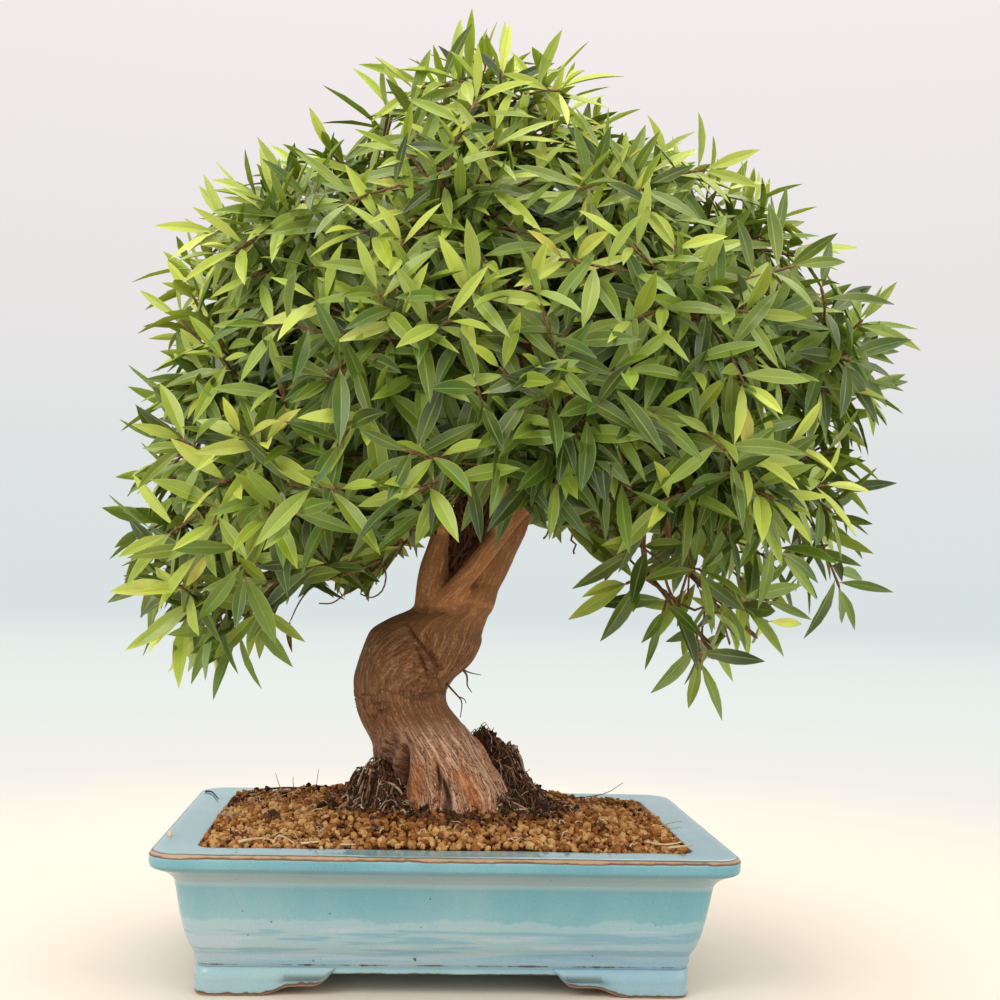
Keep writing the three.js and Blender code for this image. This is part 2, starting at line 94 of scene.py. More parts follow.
def xyz(x, y, z):
    """Points from their three coordinates, each of them an array or one number."""
    return np.stack(np.broadcast_arrays(x, y, z), -1)


def cloud(points, size, seed=0):
    """Smooth noise from -1 to 1: draws at the corners of cells of a size, blended by how near each corner is."""
    place = np.asarray(points, float) / size
    cell = np.floor(place)
    t = place - cell
    t = t * t * (3 - 2 * t)
    total = 0
    for corner in np.ndindex(2, 2, 2):
        draw = chance((cell + corner) @ np.array([1.271, 3.117, 7.47]) + seed)
        total = total + draw * np.prod(np.where(np.array(corner) == 1, t, 1 - t), axis=-1)
    return 2 * total - 1


# %% [markdown]
# ## Surfaces on a grid
#
# Nearly every piece here is a row of rings: a pot's wall, a root, a twig. Rings of equal length are joined by
# quads, and a ring is closed by a fan of triangles round one point. Thousands of twigs of one kind are a single
# array, so one call makes them all.

# %% Faces between rings, and a piece from patches


def wall(rings, sides):
    """Quads between rings of points, where side s of ring r is the point r * sides + s."""
    r, s = np.meshgrid(np.arange(rings - 1), np.arange(sides), indexing="ij")
    a, b = r * sides + s, r * sides + (s + 1) % sides
    return np.stack([a, b, b + sides, a + sides], -1).reshape(-1, 4)


def caps(rings, sides):
    """Triangles from the first ring and from the last one to the two points that come after all rings."""
    s, apex = np.arange(sides), np.full(sides, rings * sides)
    t, last = (s + 1) % sides, (rings - 1) * sides
    return np.stack([s, apex, t], -1), np.stack([s + last, t + last, apex + 1], -1)


def closed(rings, ends):
    """The points and faces of a row of rings (k, s, 3), closed by a point at each end."""
    k, s = rings.shape[:2]
    return np.concatenate([rings.reshape(-1, 3), ends]), [wall(k, s), np.concatenate(caps(k, s))]


def repeat(points, patterns):
    """Points (n, p, 3) of n like shapes and the face lists of one of them, as one list of points and faces."""
    n, p, _ = points.shape
    step = (np.arange(n) * p)[:, None, None]
    return points.reshape(-1, 3), [(f[None] + step).reshape(-1, f.shape[1]) for f in patterns]


class Shape:
    """Patches of points, in millimetres round the pot's centre, that become one mesh."""

    def __init__(self):
        self.points, self.faces, self.finishes, self.smooth, self.ways, self.carried = [], [], [], [], [], {}
        self.count = 0

    def add(self, points, faces, finish=0, smooth=True, way=None, **carried):
        """Adds a patch: lists of faces with a finish for all or for each, and UV pairs and numbers for its points."""
        points = np.asarray(points, float).reshape(-1, 3)
        for f, number in zip(faces, np.broadcast_to(finish, len(faces))):
            self.faces.append(f + self.count)
            self.finishes.append(np.full(len(f), number))
            self.smooth.append(np.full(len(f), smooth))
            pairs = np.zeros((len(points), 2)) if way is None else np.reshape(way, (-1, 2))
            self.ways.append(pairs[f.ravel()])
        for name in set(self.carried) | set(carried):
            past = self.carried.setdefault(name, [np.zeros(self.count)])
            past.append(np.broadcast_to(np.ravel(carried.get(name, 0.0)), len(points)))
        self.points.append(points)
        self.count += len(points)
        return self

    def mesh(self, name):
        """The patches as one mesh, in metres, with its UV map, its attributes and its material numbers."""
        mesh = bpy.data.meshes.new(name)
        mesh.vertices.add(self.count)
        mesh.vertices.foreach_set("co", ((np.concatenate(self.points) + POT_CENTRE) / 1000).ravel())
        corners = np.concatenate([f.ravel() for f in self.faces])
        sizes = np.concatenate([np.full(len(f), f.shape[1]) for f in self.faces])
        mesh.loops.add(len(corners))
        mesh.loops.foreach_set("vertex_index", corners)
        mesh.polygons.add(len(sizes))
        mesh.polygons.foreach_set("loop_start", np.concatenate([[0], np.cumsum(sizes)[:-1]]))
        mesh.polygons.foreach_set("material_index", np.concatenate(self.finishes))
        mesh.update(calc_edges=True)
        mesh.polygons.foreach_set("use_smooth", np.concatenate(self.smooth))
        mesh.uv_layers.new(name="way").data.foreach_set("uv", np.concatenate(self.ways).ravel())
        for label, values in self.carried.items():
            mesh.attributes.new(label, "FLOAT", "POINT").data.foreach_set("value", np.concatenate(values))
        if "rim" in self.carried:
            ends = np.zeros(len(mesh.edges) * 2, int)
            mesh.edges.foreach_get("vertices", ends)
            rim = np.concatenate(self.carried["rim"])[ends.reshape(-1, 2)]
            mesh.edges.foreach_set("use_edge_sharp", (rim[:, 0] > 0) & (rim[:, 0] == rim[:, 1]))
        return mesh


def link(name, data):
    """A new object in the scene that shows the data."""
    thing = bpy.data.objects.new(name, data)
    bpy.context.scene.collection.objects.link(thing)
    return thing


def settled(thing):
    """The mesh of an object after its modifiers, and the object is gone."""
    mesh = bpy.data.meshes.new_from_object(thing.evaluated_get(bpy.context.evaluated_depsgraph_get()))
    bpy.data.objects.remove(thing)
    return mesh


def place(name, mesh, finishes, slot, *nodes):
    """Puts a mesh in the scene as a piece that stands for CAD nodes."""
    piece = link(name, mesh)
    for finish in finishes:
        mesh.materials.append(finish)
    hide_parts(*nodes)
    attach(piece, "root")


# %% [markdown]
# ## Tubes along paths
#
# Twigs, roots and fibres are round bars that bend and thin out. Many of them at once are an array of paths. Each
# ring stands square to its path, on two directions worked out from the path's own tangent.

# %% Tubes


def bezier(corners, steps):
    """Points along the curves that have these four corners each, (n, 4, 3), as (n, steps, 3)."""
    t = np.linspace(0, 1, steps)[None, :, None]
    a, b, c, d = (corners[:, k, None] for k in range(4))
    return a * (1 - t) ** 3 + b * 3 * t * (1 - t) ** 2 + c * 3 * t * t * (1 - t) + d * t ** 3


def arc(start, bend, tip, t):
    """The place at share t of the curve from start to tip that is drawn towards a third place, bend."""
    return start * (1 - t) ** 2 + bend * 2 * t * (1 - t) + tip * t * t


def tubes(paths, radii, sides):
    """Bars along paths (n, k, 3) with radii (n, k): each ring is its radius times a circle, square to the path."""
    tangent = unit(np.gradient(paths, axis=1))
    side = unit(np.cross(np.broadcast_to(SKEW, tangent.shape), tangent))
    other = np.cross(tangent, side)
    angle = np.arange(sides) / sides * 2 * np.pi
    circle = side[:, :, None] * np.cos(angle)[:, None] + other[:, :, None] * np.sin(angle)[:, None]
    rings = paths[:, :, None] + circle * radii[:, :, None, None]
    n, k = paths.shape[:2]
    points = np.concatenate([rings.reshape(n, k * sides, 3), paths[:, :1], paths[:, -1:]], axis=1)
    return repeat(points, [wall(k, sides), np.concatenate(caps(k, sides))])


def smooth_path(places, steps):
    """A smooth curve through places: between two of them, the cubic that has their neighbours' slopes."""
    places = np.asarray(places, float)
    ends = np.concatenate([2 * places[:1] - places[1:2], places, 2 * places[-1:] - places[-2:-1]])
    at = np.linspace(0, len(places) - 1, steps)
    k = np.minimum(at.astype(int), len(places) - 2)
    t = (at - k)[:, None]
    a, b, c, d = (ends[k + step] for step in range(4))
    return 0.5 * (2 * b + (c - a) * t + (2 * a - 5 * b + 4 * c - d) * t ** 2 + (3 * b - a - 3 * c + d) * t ** 3)


def length_along(line):
    """How far along a line each of its places is: the running sum of the steps between them."""
    return np.append(0, np.cumsum(np.linalg.norm(np.diff(line, axis=0), axis=1)))


def add_bars(shape, paths, radii, sides, finish, tone):
    """Adds bars along paths to a shape, with one tone for all or for each."""
    points, faces = tubes(paths, radii, sides)
    tones = np.broadcast_to(tone, len(paths))
    shape.add(points, faces, finish, tone=np.repeat(tones, len(points) // len(paths)))


def strands(shape, items, finish, sides=5, steps=14):
    """Adds single bars: smooth curves through places, with a radius that goes from the first to the last."""
    for first, last, tone, places in items:
        add_bars(shape, smooth_path(places, steps)[None], np.linspace(first, last, steps)[None], sides, finish, tone)


# %% [markdown]
# ## Grains
#
# Soil grains and crumbs are too many for a round shape each. A ball of twelve points and twenty triangles, with
# its points pulled in and out, stretched and turned by chance, passes for a broken piece of fired clay.

# %% Grains
# The twelve corners of an icosahedron: three rectangles in the golden ratio, one across each axis
BALL = np.array([(0.52 * s, 0.52 * t * 1.618, 0) for s in (1, -1) for t in (1, -1)])
BALL = np.concatenate([BALL, np.roll(BALL, 1, axis=1), np.roll(BALL, 2, axis=1)])


def ball_faces():
    """The twenty triangles of the ball: every three of its points that are all one edge apart."""
    near = np.linalg.norm(BALL[:, None] - BALL[None], axis=2) < 1.2
    faces = np.array([(a, b, c) for a in range(12) for b in range(a + 1, 12) for c in range(b + 1, 12)
                      if near[a, b] and near[b, c] and near[a, c]])
    first, second, third = (BALL[faces[:, k]] for k in range(3))
    inward = np.sum(np.cross(second - first, third - first) * (first + second + third), axis=1) < 0
    faces[inward] = faces[inward][:, ::-1]
    return faces


def turned(points, seed):
    """Each copy turned by a matrix whose rows are three square directions, worked out from two drawn ones."""
    draw = chance(seed[:, None] + np.array([0.11, 0.37, 0.71, 0.23, 0.59, 0.83])) - 0.5
    first = unit(draw[:, :3])
    second = unit(np.cross(first, draw[:, 3:]))
    return points @ np.stack([first, second, np.cross(first, second)], 1)


def lumps(centres, radii, seed, stretch=(1, 1, 0.8)):
    """Grains: the ball's points drawn in or out by up to a quarter, stretched, turned and moved."""
    seed = np.asarray(seed, float)
    pull = 0.78 + 0.44 * chance(seed[:, None] * 3.3 + np.arange(12) * 1.7)
    grains = BALL[None] * pull[..., None] * radii[:, None, None] * np.array(stretch)
    return repeat(turned(grains, seed) + centres[:, None], [ball_faces()])


def add_lumps(shape, centres, radii, seed, stretch, finish, tone, smooth=False):
    """Adds grains to a shape, each with its tone."""
    points, faces = lumps(centres, radii, seed, stretch)
    shape.add(points, faces, finish, smooth, tone=np.repeat(tone, len(BALL)))


# %% [markdown]
# ## Shader maths in plain Python
#
# A finish is a set of nodes. To read like a formula it needs numbers that can be added and multiplied, so a small
# class wraps a socket, and each sign adds the Math node that it stands for.

# %% Finishes


class Value:
    """A number that varies over a surface: one socket, with signs that add Math nodes."""

    def __init__(self, finish, socket):
        self.finish, self.socket = finish, socket

    def maths(self, operation, *others):
        """This number and others, put through one Math node."""
        return self.finish.node("ShaderNodeMath", {"operation": operation}, self, *others)

    def __add__(self, other):
        return self.maths("ADD", other)

    def __sub__(self, other):
        return self.maths("SUBTRACT", other)

    def __rsub__(self, other):
        return self.finish.node("ShaderNodeMath", {"operation": "SUBTRACT"}, other, self)

    def __mul__(self, other):
        return self.maths("MULTIPLY", other)

    def __truediv__(self, other):
        return self.maths("DIVIDE", other)

    __radd__, __rmul__ = __add__, __mul__

    def part(self, name):
        """Another output of the same node, by its name."""
        return Value(self.finish, self.socket.node.outputs[name])


class Finish:
    """A material whose nodes come from one method."""

    def __init__(self, name):
        self.material = bpy.data.materials.new(name)
        self.material.use_nodes = True
        self.nodes = self.material.node_tree.nodes
        self.shader = self.nodes["Principled BSDF"]

    def node(self, kind, settings=None, *values, **named):
        """Adds a node: its settings first, then values or links for its sockets, by place or by name."""
        node = self.nodes.new(kind)
        for name, value in (settings or {}).items():
            if name == "stops":
                for stop in value[2:]:
                    node.color_ramp.elements.new(stop[0])
                for element, (at, colour) in zip(node.color_ramp.elements, value):
                    element.position, element.color = at, (*colour, 1)
            else:
                setattr(node, name, value)
        for key, value in [*enumerate(values), *((k.replace("_", " "), v) for k, v in named.items())]:
            self.feed(node.inputs[key], value)
        outputs = [socket for socket in node.outputs if socket.enabled]
        return Value(self, outputs[0])

    def feed(self, socket, value):
        """Links a value to a socket, or sets a plain number or colour on it."""
        if isinstance(value, Value):
            self.material.node_tree.links.new(value.socket, socket)
        else:
            socket.default_value = (*value, 1) if np.size(value) == 3 and socket.type == "RGBA" else value

    def ramp(self, value, *stops):
        """A colour read from stops, each a place from 0 to 1 and a colour."""
        return self.node("ShaderNodeValToRGB", {"stops": stops}, value)

    def layers(self, colour, *layers):
        """The colour under layers of others: each layer is a factor and a colour, and a Mix node mixes it in."""
        for factor, tint in layers:
            node = self.nodes.new("ShaderNodeMix")
            node.data_type = "RGBA"
            for key, value in ((0, factor), (6, colour), (7, tint)):
                self.feed(node.inputs[key], value)
            colour = Value(self, node.outputs[2])
        return colour

    def step(self, value, low, high):
        """A smooth step from 0 at low to 1 at high."""
        settings = {"interpolation_type": "SMOOTHSTEP"}
        return self.node("ShaderNodeMapRange", settings, value, low, high, 0.0, 1.0)

    def between(self, value, low, first, last, high):
        """A plateau: it rises from 0 to 1 between low and first, and falls again between last and high."""
        return self.step(value, low, first) * (1 - self.step(value, last, high))

    def near(self, value, middle, low, high):
        """1 where a value is less than low away from its middle, and 0 where it is more than high away."""
        return 1 - self.step((value - middle).maths("ABSOLUTE"), low, high)

    def places(self):
        """Where a point is, in metres from the middle of the tree's footprint."""
        return self.node("ShaderNodeTexCoord").part("Object")

    def split(self, vector):
        """The vector's node of three outputs, X, Y and Z."""
        return self.node("ShaderNodeSeparateXYZ", None, vector)

    def carried(self, name, output="Fac"):
        """The numbers, or with the output Vector the vectors, that the points carry under a name."""
        return self.node("ShaderNodeAttribute", {"attribute_name": name}).part(output)

    def stretched(self, vector, scale):
        """The vector times a scale for each axis."""
        return self.node("ShaderNodeMapping", None, vector, Scale=scale)

    def noise(self, vector, scale, detail=3.0, rough=0.5):
        """Soft noise round 0.5 in cells as wide as one over the scale, with ever finer noise on top."""
        return self.node("ShaderNodeTexNoise", None, Vector=vector, Scale=scale, Detail=detail, Roughness=rough)

    def bump(self, height, strength, distance):
        """Normals as if the surface stood out by the height times a distance in metres."""
        return self.node("ShaderNodeBump", None, strength, distance, Height=height)

    def set(self, **named):
        """Feeds the shader's own sockets."""
        for name, value in named.items():
            self.feed(self.shader.inputs[name.replace("_", " ")], value)
        return self.material


# %% [markdown]
# ## The pot's glaze
#
# The pot is stoneware under a runny turquoise glaze. Where the glaze lies thick it is deep and blue, and where it
# runs thin over an edge, the brown clay shows through. The points of the pot carry how worn each edge is, so the
# brown line follows the rim exactly. Small dark pits are iron spots that burst in the kiln.
# The room's reflections on the glossy wall and the shade in the cove under the lip are painted into the colour.

# %% Glaze


def glaze_finish():
    """Turquoise by glaze thickness, a painted wavy reflection band on the wall, streaks, pinholes and worn edges."""
    finish = Finish("turquoise_glaze")
    spot = finish.places()
    height = finish.split(spot).part("Z") * 1000
    runs = finish.noise(finish.stretched(spot, (1.0, 1.0, 0.3)), 34.0, 4.0, 0.6)
    streaks = finish.noise(finish.stretched(spot, (0.06, 0.06, 1.0)), 150.0)
    lilac = finish.noise(finish.stretched(spot, (0.5, 0.5, 1.6)), 9.0, 2.0)
    pools = finish.noise(spot, 11.0)
    wave = finish.noise(spot, 15.0, 4.0, 0.55)
    lace = finish.noise(spot, 130.0, 3.0, 0.6)
    dots = finish.noise(spot, 900.0, 2.0, 0.6)
    # Painted reflection: a darker band of the room mirrored in the wall, 60 to 88 mm up, with a wavy lower edge.
    reflection_band = finish.step(height + (wave - 0.5) * 26 + (lace - 0.5) * 7, 59.5, 63.0)
    reflection_band = reflection_band * (1 - finish.step(height, 86.0, 89.0))
    wash = finish.step(finish.noise(spot, 4.5, 2.0), 0.42, 0.62)
    depth = finish.carried("thick") * 0.36 + reflection_band * 0.2 + wash * 0.08 + pools * 0.16 + runs * 0.26 - 0.175
    turquoise = finish.ramp(depth, (0.0, (0.43, 0.55, 0.57)), (0.25, (0.31, 0.50, 0.54)), (0.5, (0.18, 0.405, 0.46)),
                            (0.85, (0.06, 0.26, 0.335)))
    # Painted reflection and shade in the cove under the lip, paler at its lower edge.
    cove_reflection_shade = finish.ramp((height - 89.0) / 16, (0.0, (0.50, 0.61, 0.61)), (0.14, (0.33, 0.41, 0.42)),
                       (0.62, (0.29, 0.375, 0.40)), (0.85, (0.16, 0.27, 0.31)))
    slate = finish.ramp(streaks, (0.4, (0.36, 0.42, 0.47)), (0.6, (0.20, 0.36, 0.47)))
    # The zone low on the wall where the blue and pale streaks are a painted reflection.
    low = finish.between(height, 26.0, 34.0, 52.0, 60.0)
    pits = finish.node("ShaderNodeTexVoronoi", None, Vector=spot, Scale=85.0)
    pit = (1 - finish.step(pits, 0.04, 0.10)) * finish.step(finish.noise(spot, 60.0, 1.0), 0.5, 0.56)
    edge = finish.carried("worn") + (runs - 0.5) * 0.9 + (lace - 0.5) * 0.5
    clay = finish.ramp(edge, (0.42, (0.10, 0.055, 0.038)), (0.70, (0.16, 0.085, 0.045)), (0.98, (0.47, 0.315, 0.195)))
    worn = finish.step(edge, 0.36, 0.52)
    colour = finish.layers(
        turquoise,
        # Painted reflection: blue and pale streaks low on the wall.
        (finish.step(streaks, 0.52, 0.57) * low * 0.5, (0.15, 0.36, 0.48)),
        ((1 - finish.step(streaks, 0.40, 0.46)) * low * 0.5, (0.52, 0.58, 0.66)),
        # Painted reflection and shade in the cove under the lip.
        (finish.between(height, 89.0, 91.0, 103.4, 105.2) * 0.68, cove_reflection_shade),
        (finish.between(height, 21.0, 23.5, 32.0, 36.0) * 0.5, slate),
        (finish.step(lilac, 0.48, 0.68) * 0.3, (0.29, 0.41, 0.56)),
        (finish.step(dots, 0.62, 0.70) * 0.2, (0.62, 0.70, 0.72)),
        ((1 - finish.step(dots, 0.31, 0.38)) * 0.3, (0.07, 0.20, 0.26)),
        (pit * 0.75, (0.06, 0.07, 0.07)),
        (worn, clay),
    )
    normal = finish.bump(finish.noise(spot, 26.0, 2.0) - pit * 0.3, 0.25, 0.0012)
    return finish.set(Base_Color=colour, Roughness=worn * 0.25 + pit * 0.3 + 0.08, Normal=normal, IOR=1.46,
                      Specular_IOR_Level=0.4)


GLAZE = glaze_finish()

# %% [markdown]
# ## The pot
#
# The wall is one profile carried round a rounded rectangle: up the outside, over the broad flat lip and down into
# the pot. The corner's radius shrinks as the profile goes inwards. A foot is a strip of the same rectangle that
# hangs down by a scrolled amount on both sides of a corner.

# %% Pot sizes
# Half its width and half its depth, then the radius of its corners
POT_HALF = np.array([230.0, 165.0])
CORNER_RADIUS = 24.0
FOOT_INSET, FOOT_TOP, FOOT_THICK = 35.0, 22.0, 16.0
# How long a foot is on the short side of the pot, as a share of its length on the long side
SHORT_SIDE = 0.74
FLOOR_TOP = 26.0
# The drain holes: how far they are from the middle, and their radius
DRAIN_REACH, DRAIN_RADIUS = 110.0, 13.0
# The signs of x and y in the four corners, one after the other round the pot
CORNERS = np.array([(1, 1), (-1, 1), (-1, -1), (1, -1)])
# Blisters in the glaze: place on the wall, radius
BLISTERS = [(-120, -142.2, 76, 1.9), (-153, -137.4, 49, 1.3), (-14, -144.2, 80, 1.4), (-24, -134.2, 30.5, 1.5)]

# Rows of the wall: inset, height, how worn the edge is there, how thick the glaze is
WALL_ROWS = np.array([
    (60, 17, 0, 0.4), (38, 17, 0.2, 0.4), (37, 17.4, 0.6, 0.4), (36.6, 19, 0.2, 0.5), (36.8, 21.6, 0, 0.9),
    (36.4, 22.6, 0.2, 0.8), (35.4, 24.4, 0.5, 0.2), (34.7, 26, 0.25, 0.2), (34.3, 28, 0, 0.7), (34.2, 31, 0, 0.9),
    (33.8, 33, 0, 0.6), (32.4, 35.4, 0.1, 0.2), (30.2, 39, 0, 0.2), (27.6, 46, 0, 0.3), (25.2, 54, 0, 0.25),
    (23.1, 63, 0, 0.3), (21.4, 72, 0, 0.45), (20, 80, 0, 0.5), (19, 86, 0, 0.5), (18.2, 89.5, 0, 0.5),
    (17, 91.6, 0, 0.2), (14.8, 94, 0, 0), (12, 96.4, 0, 0), (8.6, 98.6, 0, 0.1), (5, 100.2, 0, 0.3),
    (2.4, 101.4, 0.15, 0.8), (0.8, 102.8, 0.2, 1.2), (0.1, 105, 0, 1.3), (0, 109, 0, 1.3), (0.05, 110.6, 0.1, 1),
    (0.1, 111.6, 0.6, 0.6), (0.5, 112.6, 0.8, 0.6), (1.1, 113.5, 1.1, 0.4), (2.1, 114.3, 0.8, 0.4),
    (3.4, 114.8, 0.2, 0.8), (5, 115, 0, 0.8),
    (12, 114.7, 0, 1.1), (20, 114.5, 0, 1), (28, 114.4, 0, 1.1), (32, 114.3, 0.1, 1), (34, 113.9, 0.5, 0.6),
    (34.9, 112.8, 0.7, 0.3), (35.1, 110.5, 0.1, 0.5), (35, 106.5, 0, 0.6), (28, 101, 0, 0.5), (29.5, 80, 0, 0.5),
    (34, 54, 0, 0.5), (39, 38, 0, 0.5), (46, 26, 0, 0.5),
])
# The scroll of a foot: distance from the corner, height of the lower edge
FOOT_LINE = np.array([
    (0, 0), (30, 0), (48, 0), (52, 0.3), (56, 1.0), (60, 2.1), (64, 3.6), (68, 5.2), (72, 6.5), (76, 7.1), (82, 7.2),
    (89, 7.2), (93, 7.4), (96, 8.2), (99, 9.8), (101, 11.6), (103, 13.8), (105, 16.2), (107, 18.6), (109, 22),
])

# %% Round the pot


def pot_ring(inset, height, steps=10, along=22):
    """Rounded rectangles at insets and heights: four arcs with a radius of 24 less a third of the inset."""
    inset, height = np.broadcast_arrays(np.atleast_1d(inset).astype(float), height)
    radius = CORNER_RADIUS - inset / 3
    half = POT_HALF - inset[:, None] - radius[:, None]
    rings = []
    for corner, sign in enumerate(CORNERS):
        angle = (corner + np.linspace(0, 1, steps)) * np.pi / 2
        turn = np.stack([np.cos(angle), np.sin(angle)], -1) * radius[:, None, None]
        here = half[:, None] * sign + turn
        then = half[:, None] * np.roll(CORNERS, -1, axis=0)[corner]
        goes = here[:, -1:] + (then - half[:, None] * sign) * np.linspace(0, 1, along)[1:-1, None]
        rings += [here, goes]
    flat = np.concatenate(rings, axis=1)
    return np.concatenate([flat, np.broadcast_to(height[:, None, None], (*flat.shape[:2], 1))], -1)


def foot(side_x, side_y, shape):
    """A foot: a strip round one corner, whose lower edge hangs by the scroll's line on both of its sides."""
    half = POT_HALF - FOOT_INSET
    radius = CORNER_RADIUS - FOOT_INSET / 3
    turn = np.linspace(0, np.pi / 2, 9)
    bow = np.stack([half[0] - radius + radius * np.cos(turn), half[1] - radius + radius * np.sin(turn)], -1)
    straight = FOOT_LINE[FOOT_LINE[:, 0] > 24, 0]
    down_y = np.stack([np.full(len(straight), half[0]), half[1] - straight[::-1] * SHORT_SIDE], -1)
    down_x = np.stack([half[0] - straight, np.full(len(straight), half[1])], -1)
    outer = np.concatenate([down_y, bow, down_x])
    rise = np.interp(np.concatenate([straight[::-1], np.zeros(len(bow)), straight]), *FOOT_LINE.T)
    inner = np.minimum(outer, half - FOOT_THICK)
    out = unit(np.maximum(outer - half + radius, 0) + 1e-6)
    rows = [(outer, FOOT_TOP + 0 * rise, 0.0, 0.0), (outer, np.maximum(rise, 12), 0.3, 0.1),
            (outer, np.minimum(rise + 7, 21.9), 1.0, 0.0), (outer, np.minimum(rise + 2.6, 21.8), 0.2, 0.5),
            (outer, np.minimum(rise + 0.8, 21.7), 1.2, 1.0), (outer, rise, 3.0, 1.2), (inner, rise, 0.0, 1.2),
            (inner, FOOT_TOP + 0 * rise, 0.0, 0.2)]
    points = np.stack([np.column_stack([edge - out * pull, z]) for edge, z, pull, _ in rows], 1)
    points = points * (side_x, side_y, 1)
    k, s = points.shape[:2]
    faces = wall(k, s)
    ends = np.array([[*range(s)][::-1], [*range((k - 1) * s, k * s)]])
    if side_x * side_y < 0:
        faces, ends = faces[:, ::-1], ends[:, ::-1]
    shape.add(points, [faces, ends], worn=np.broadcast_to([row[3] for row in rows], (k, s)), thick=0.5)


# %% Build the pot


def drilled(mesh, name):
    """The mesh with two round drain holes cut through its floor."""
    body = link("undrilled", mesh)
    drill = Shape()
    for x in (-DRAIN_REACH, DRAIN_REACH):
        line = np.array([[(x, 0, 8.0), (x, 0.001, 32.0)]])
        drill.add(*tubes(line, np.full((1, 2), DRAIN_RADIUS), 40), worn=0.9, thick=0.2)
    bit = link("drill", drill.mesh("drill"))
    bore = body.modifiers.new("bore", "BOOLEAN")
    bore.operation, bore.solver, bore.object = "DIFFERENCE", "EXACT", bit
    result = settled(body)
    bpy.data.objects.remove(bit)
    result.name = name
    return result


def build_pot():
    """The wall with twice as many rows as the table, a little sagged, then feet and blisters, and the drill."""
    shape = Shape()
    last = len(WALL_ROWS) - 1
    halves = np.arange(0, last + 0.5, 0.5)
    rows = np.stack([np.interp(halves, np.arange(last + 1), WALL_ROWS[:, k]) for k in range(4)], -1)
    rings = pot_ring(rows[:, 0], rows[:, 1])
    sag = 0.35 * cloud(rings * (1, 1, 0.5), 60.0, 3)
    rings = rings + xyz(sag * 0.6, sag * 0.6, sag * 0.5) * (rows[:, 1] > 30)[:, None, None]
    worn, thick = (np.append(np.repeat(rows[:, k], rings.shape[1]), [0, 0]) for k in (2, 3))
    shape.add(*closed(rings, [(0, 0, 17.0), (0, 0, FLOOR_TOP)]), worn=worn, thick=thick)
    for side_x, side_y in CORNERS:
        foot(side_x, side_y, shape)
    blisters = np.array(BLISTERS)
    chips, faces = lumps(blisters[:, :3], blisters[:, 3], np.arange(len(blisters)) + 900.0)
    shape.add(chips, faces, smooth=False, worn=0.7)
    mesh = drilled(shape.mesh("glazed_pot"), "glazed_pot")
    print("pot faces", len(mesh.polygons))
    place("glazed_pot", mesh, [GLAZE], "glaze", "pot")


build_pot()

# %% [markdown]
# ## Drain meshes
#
# A square of plastic mesh lies over each drain hole and keeps the grains in. Its solid has the right shape, so it
# stays as it is and only gets a dull black finish, with a little dust.

# %% Finish the drain meshes


def mesh_finish():
    """Black with brown dust in patches."""
    finish = Finish("black_plastic_mesh")
    dust = finish.noise(finish.places(), 320.0, 4.0, 0.6)
    colour = finish.ramp(dust, (0.35, (0.010, 0.011, 0.012)), (0.6, (0.028, 0.028, 0.027)), (0.8, (0.12, 0.08, 0.05)))
    return finish.set(Base_Color=colour, Roughness=dust * 0.3 + 0.4, Normal=finish.bump(dust, 0.3, 0.0004))


MESH_FINISH = mesh_finish()
for drain_mesh in ("drain_mesh_left", "drain_mesh_right"):
    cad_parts[drain_mesh].data.materials.clear()
    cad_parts[drain_mesh].data.materials.append(MESH_FINISH)

# %% [markdown]
# ## The crown's form
#
# Seen from the front, the crown is a wide dome that hangs lowest at its two sides and is open over the trunk.
# Its outline is kept as a reach for each angle, and its depth as one number, so that the surface of the crown is a
# cushion. Thirty-seven branches end in sprays, and each spray's axis runs out to one point of that cushion.

# %% The cushion and the axes of the sprays
CROWN_CENTRE = np.array([50.0, 0.0, 480.0])
CROWN_DEPTH = 268.0
# The outline in front view: angle in degrees from -180 to 180, reach from the centre
CROWN_OUTLINE = np.array([
    (-180, 336), (-163, 376), (-152, 400), (-138, 374), (-123, 190), (-100, 118), (-64, 150), (-52, 335),
    (-36, 352), (-10, 345), (14, 366), (44, 324), (68, 292), (98, 350), (128, 310), (158, 350), (180, 336),
])
# Sprays that the even directions leave out: angle in front view, angle in depth
ODD_SPRAYS = np.radians([(-51, -20), (-141, -14), (98, -4), (6, 5), (-160, 6)])
# Where an axis starts, as a share of the reach, and how far the leaves stand out past its end
SPRAY_BASE, LEAF_REACH = 0.58, 44.0


def crown_surface(turn, depth):
    """The cushion: a circle in depth, stretched to the outline's reach in front view; and where it is open."""
    reach = np.interp(np.degrees(turn + np.pi) % 360 - 180, *CROWN_OUTLINE.T)
    flat = reach * np.cos(depth)
    surface = np.stack([flat * np.cos(turn), CROWN_DEPTH * np.sin(depth), flat * np.sin(turn)], -1)
    return surface, (reach < 170) & (np.cos(depth) > 0.72)


def golden(count, phase):
    """Even directions: each turns on by the golden angle, and its depth is the arc sine of an even row."""
    k = np.arange(count)
    return k * GOLDEN + phase, np.arcsin(1 - 2 * (k + 0.5) / count)


def spray_frames():
    """Even directions where the cushion is closed, and the odd ones: axes, two square directions, bases, lengths."""
    surface, is_open = crown_surface(*golden(37, 0.6))
    reach = np.concatenate([surface[~is_open], crown_surface(*ODD_SPRAYS.T)[0]])
    axes = unit(reach)
    across = unit(np.cross(SKEW, axes))
    lengths = (1 - SPRAY_BASE) * np.linalg.norm(reach, axis=1) - LEAF_REACH
    return axes, across, np.cross(axes, across), CROWN_CENTRE + SPRAY_BASE * reach, lengths


AXES, ACROSS, UPRIGHT, BASES, LENGTHS = spray_frames()
print("sprays", len(AXES), "each", LENGTHS.min().round(), "to", LENGTHS.max().round(), "mm long")

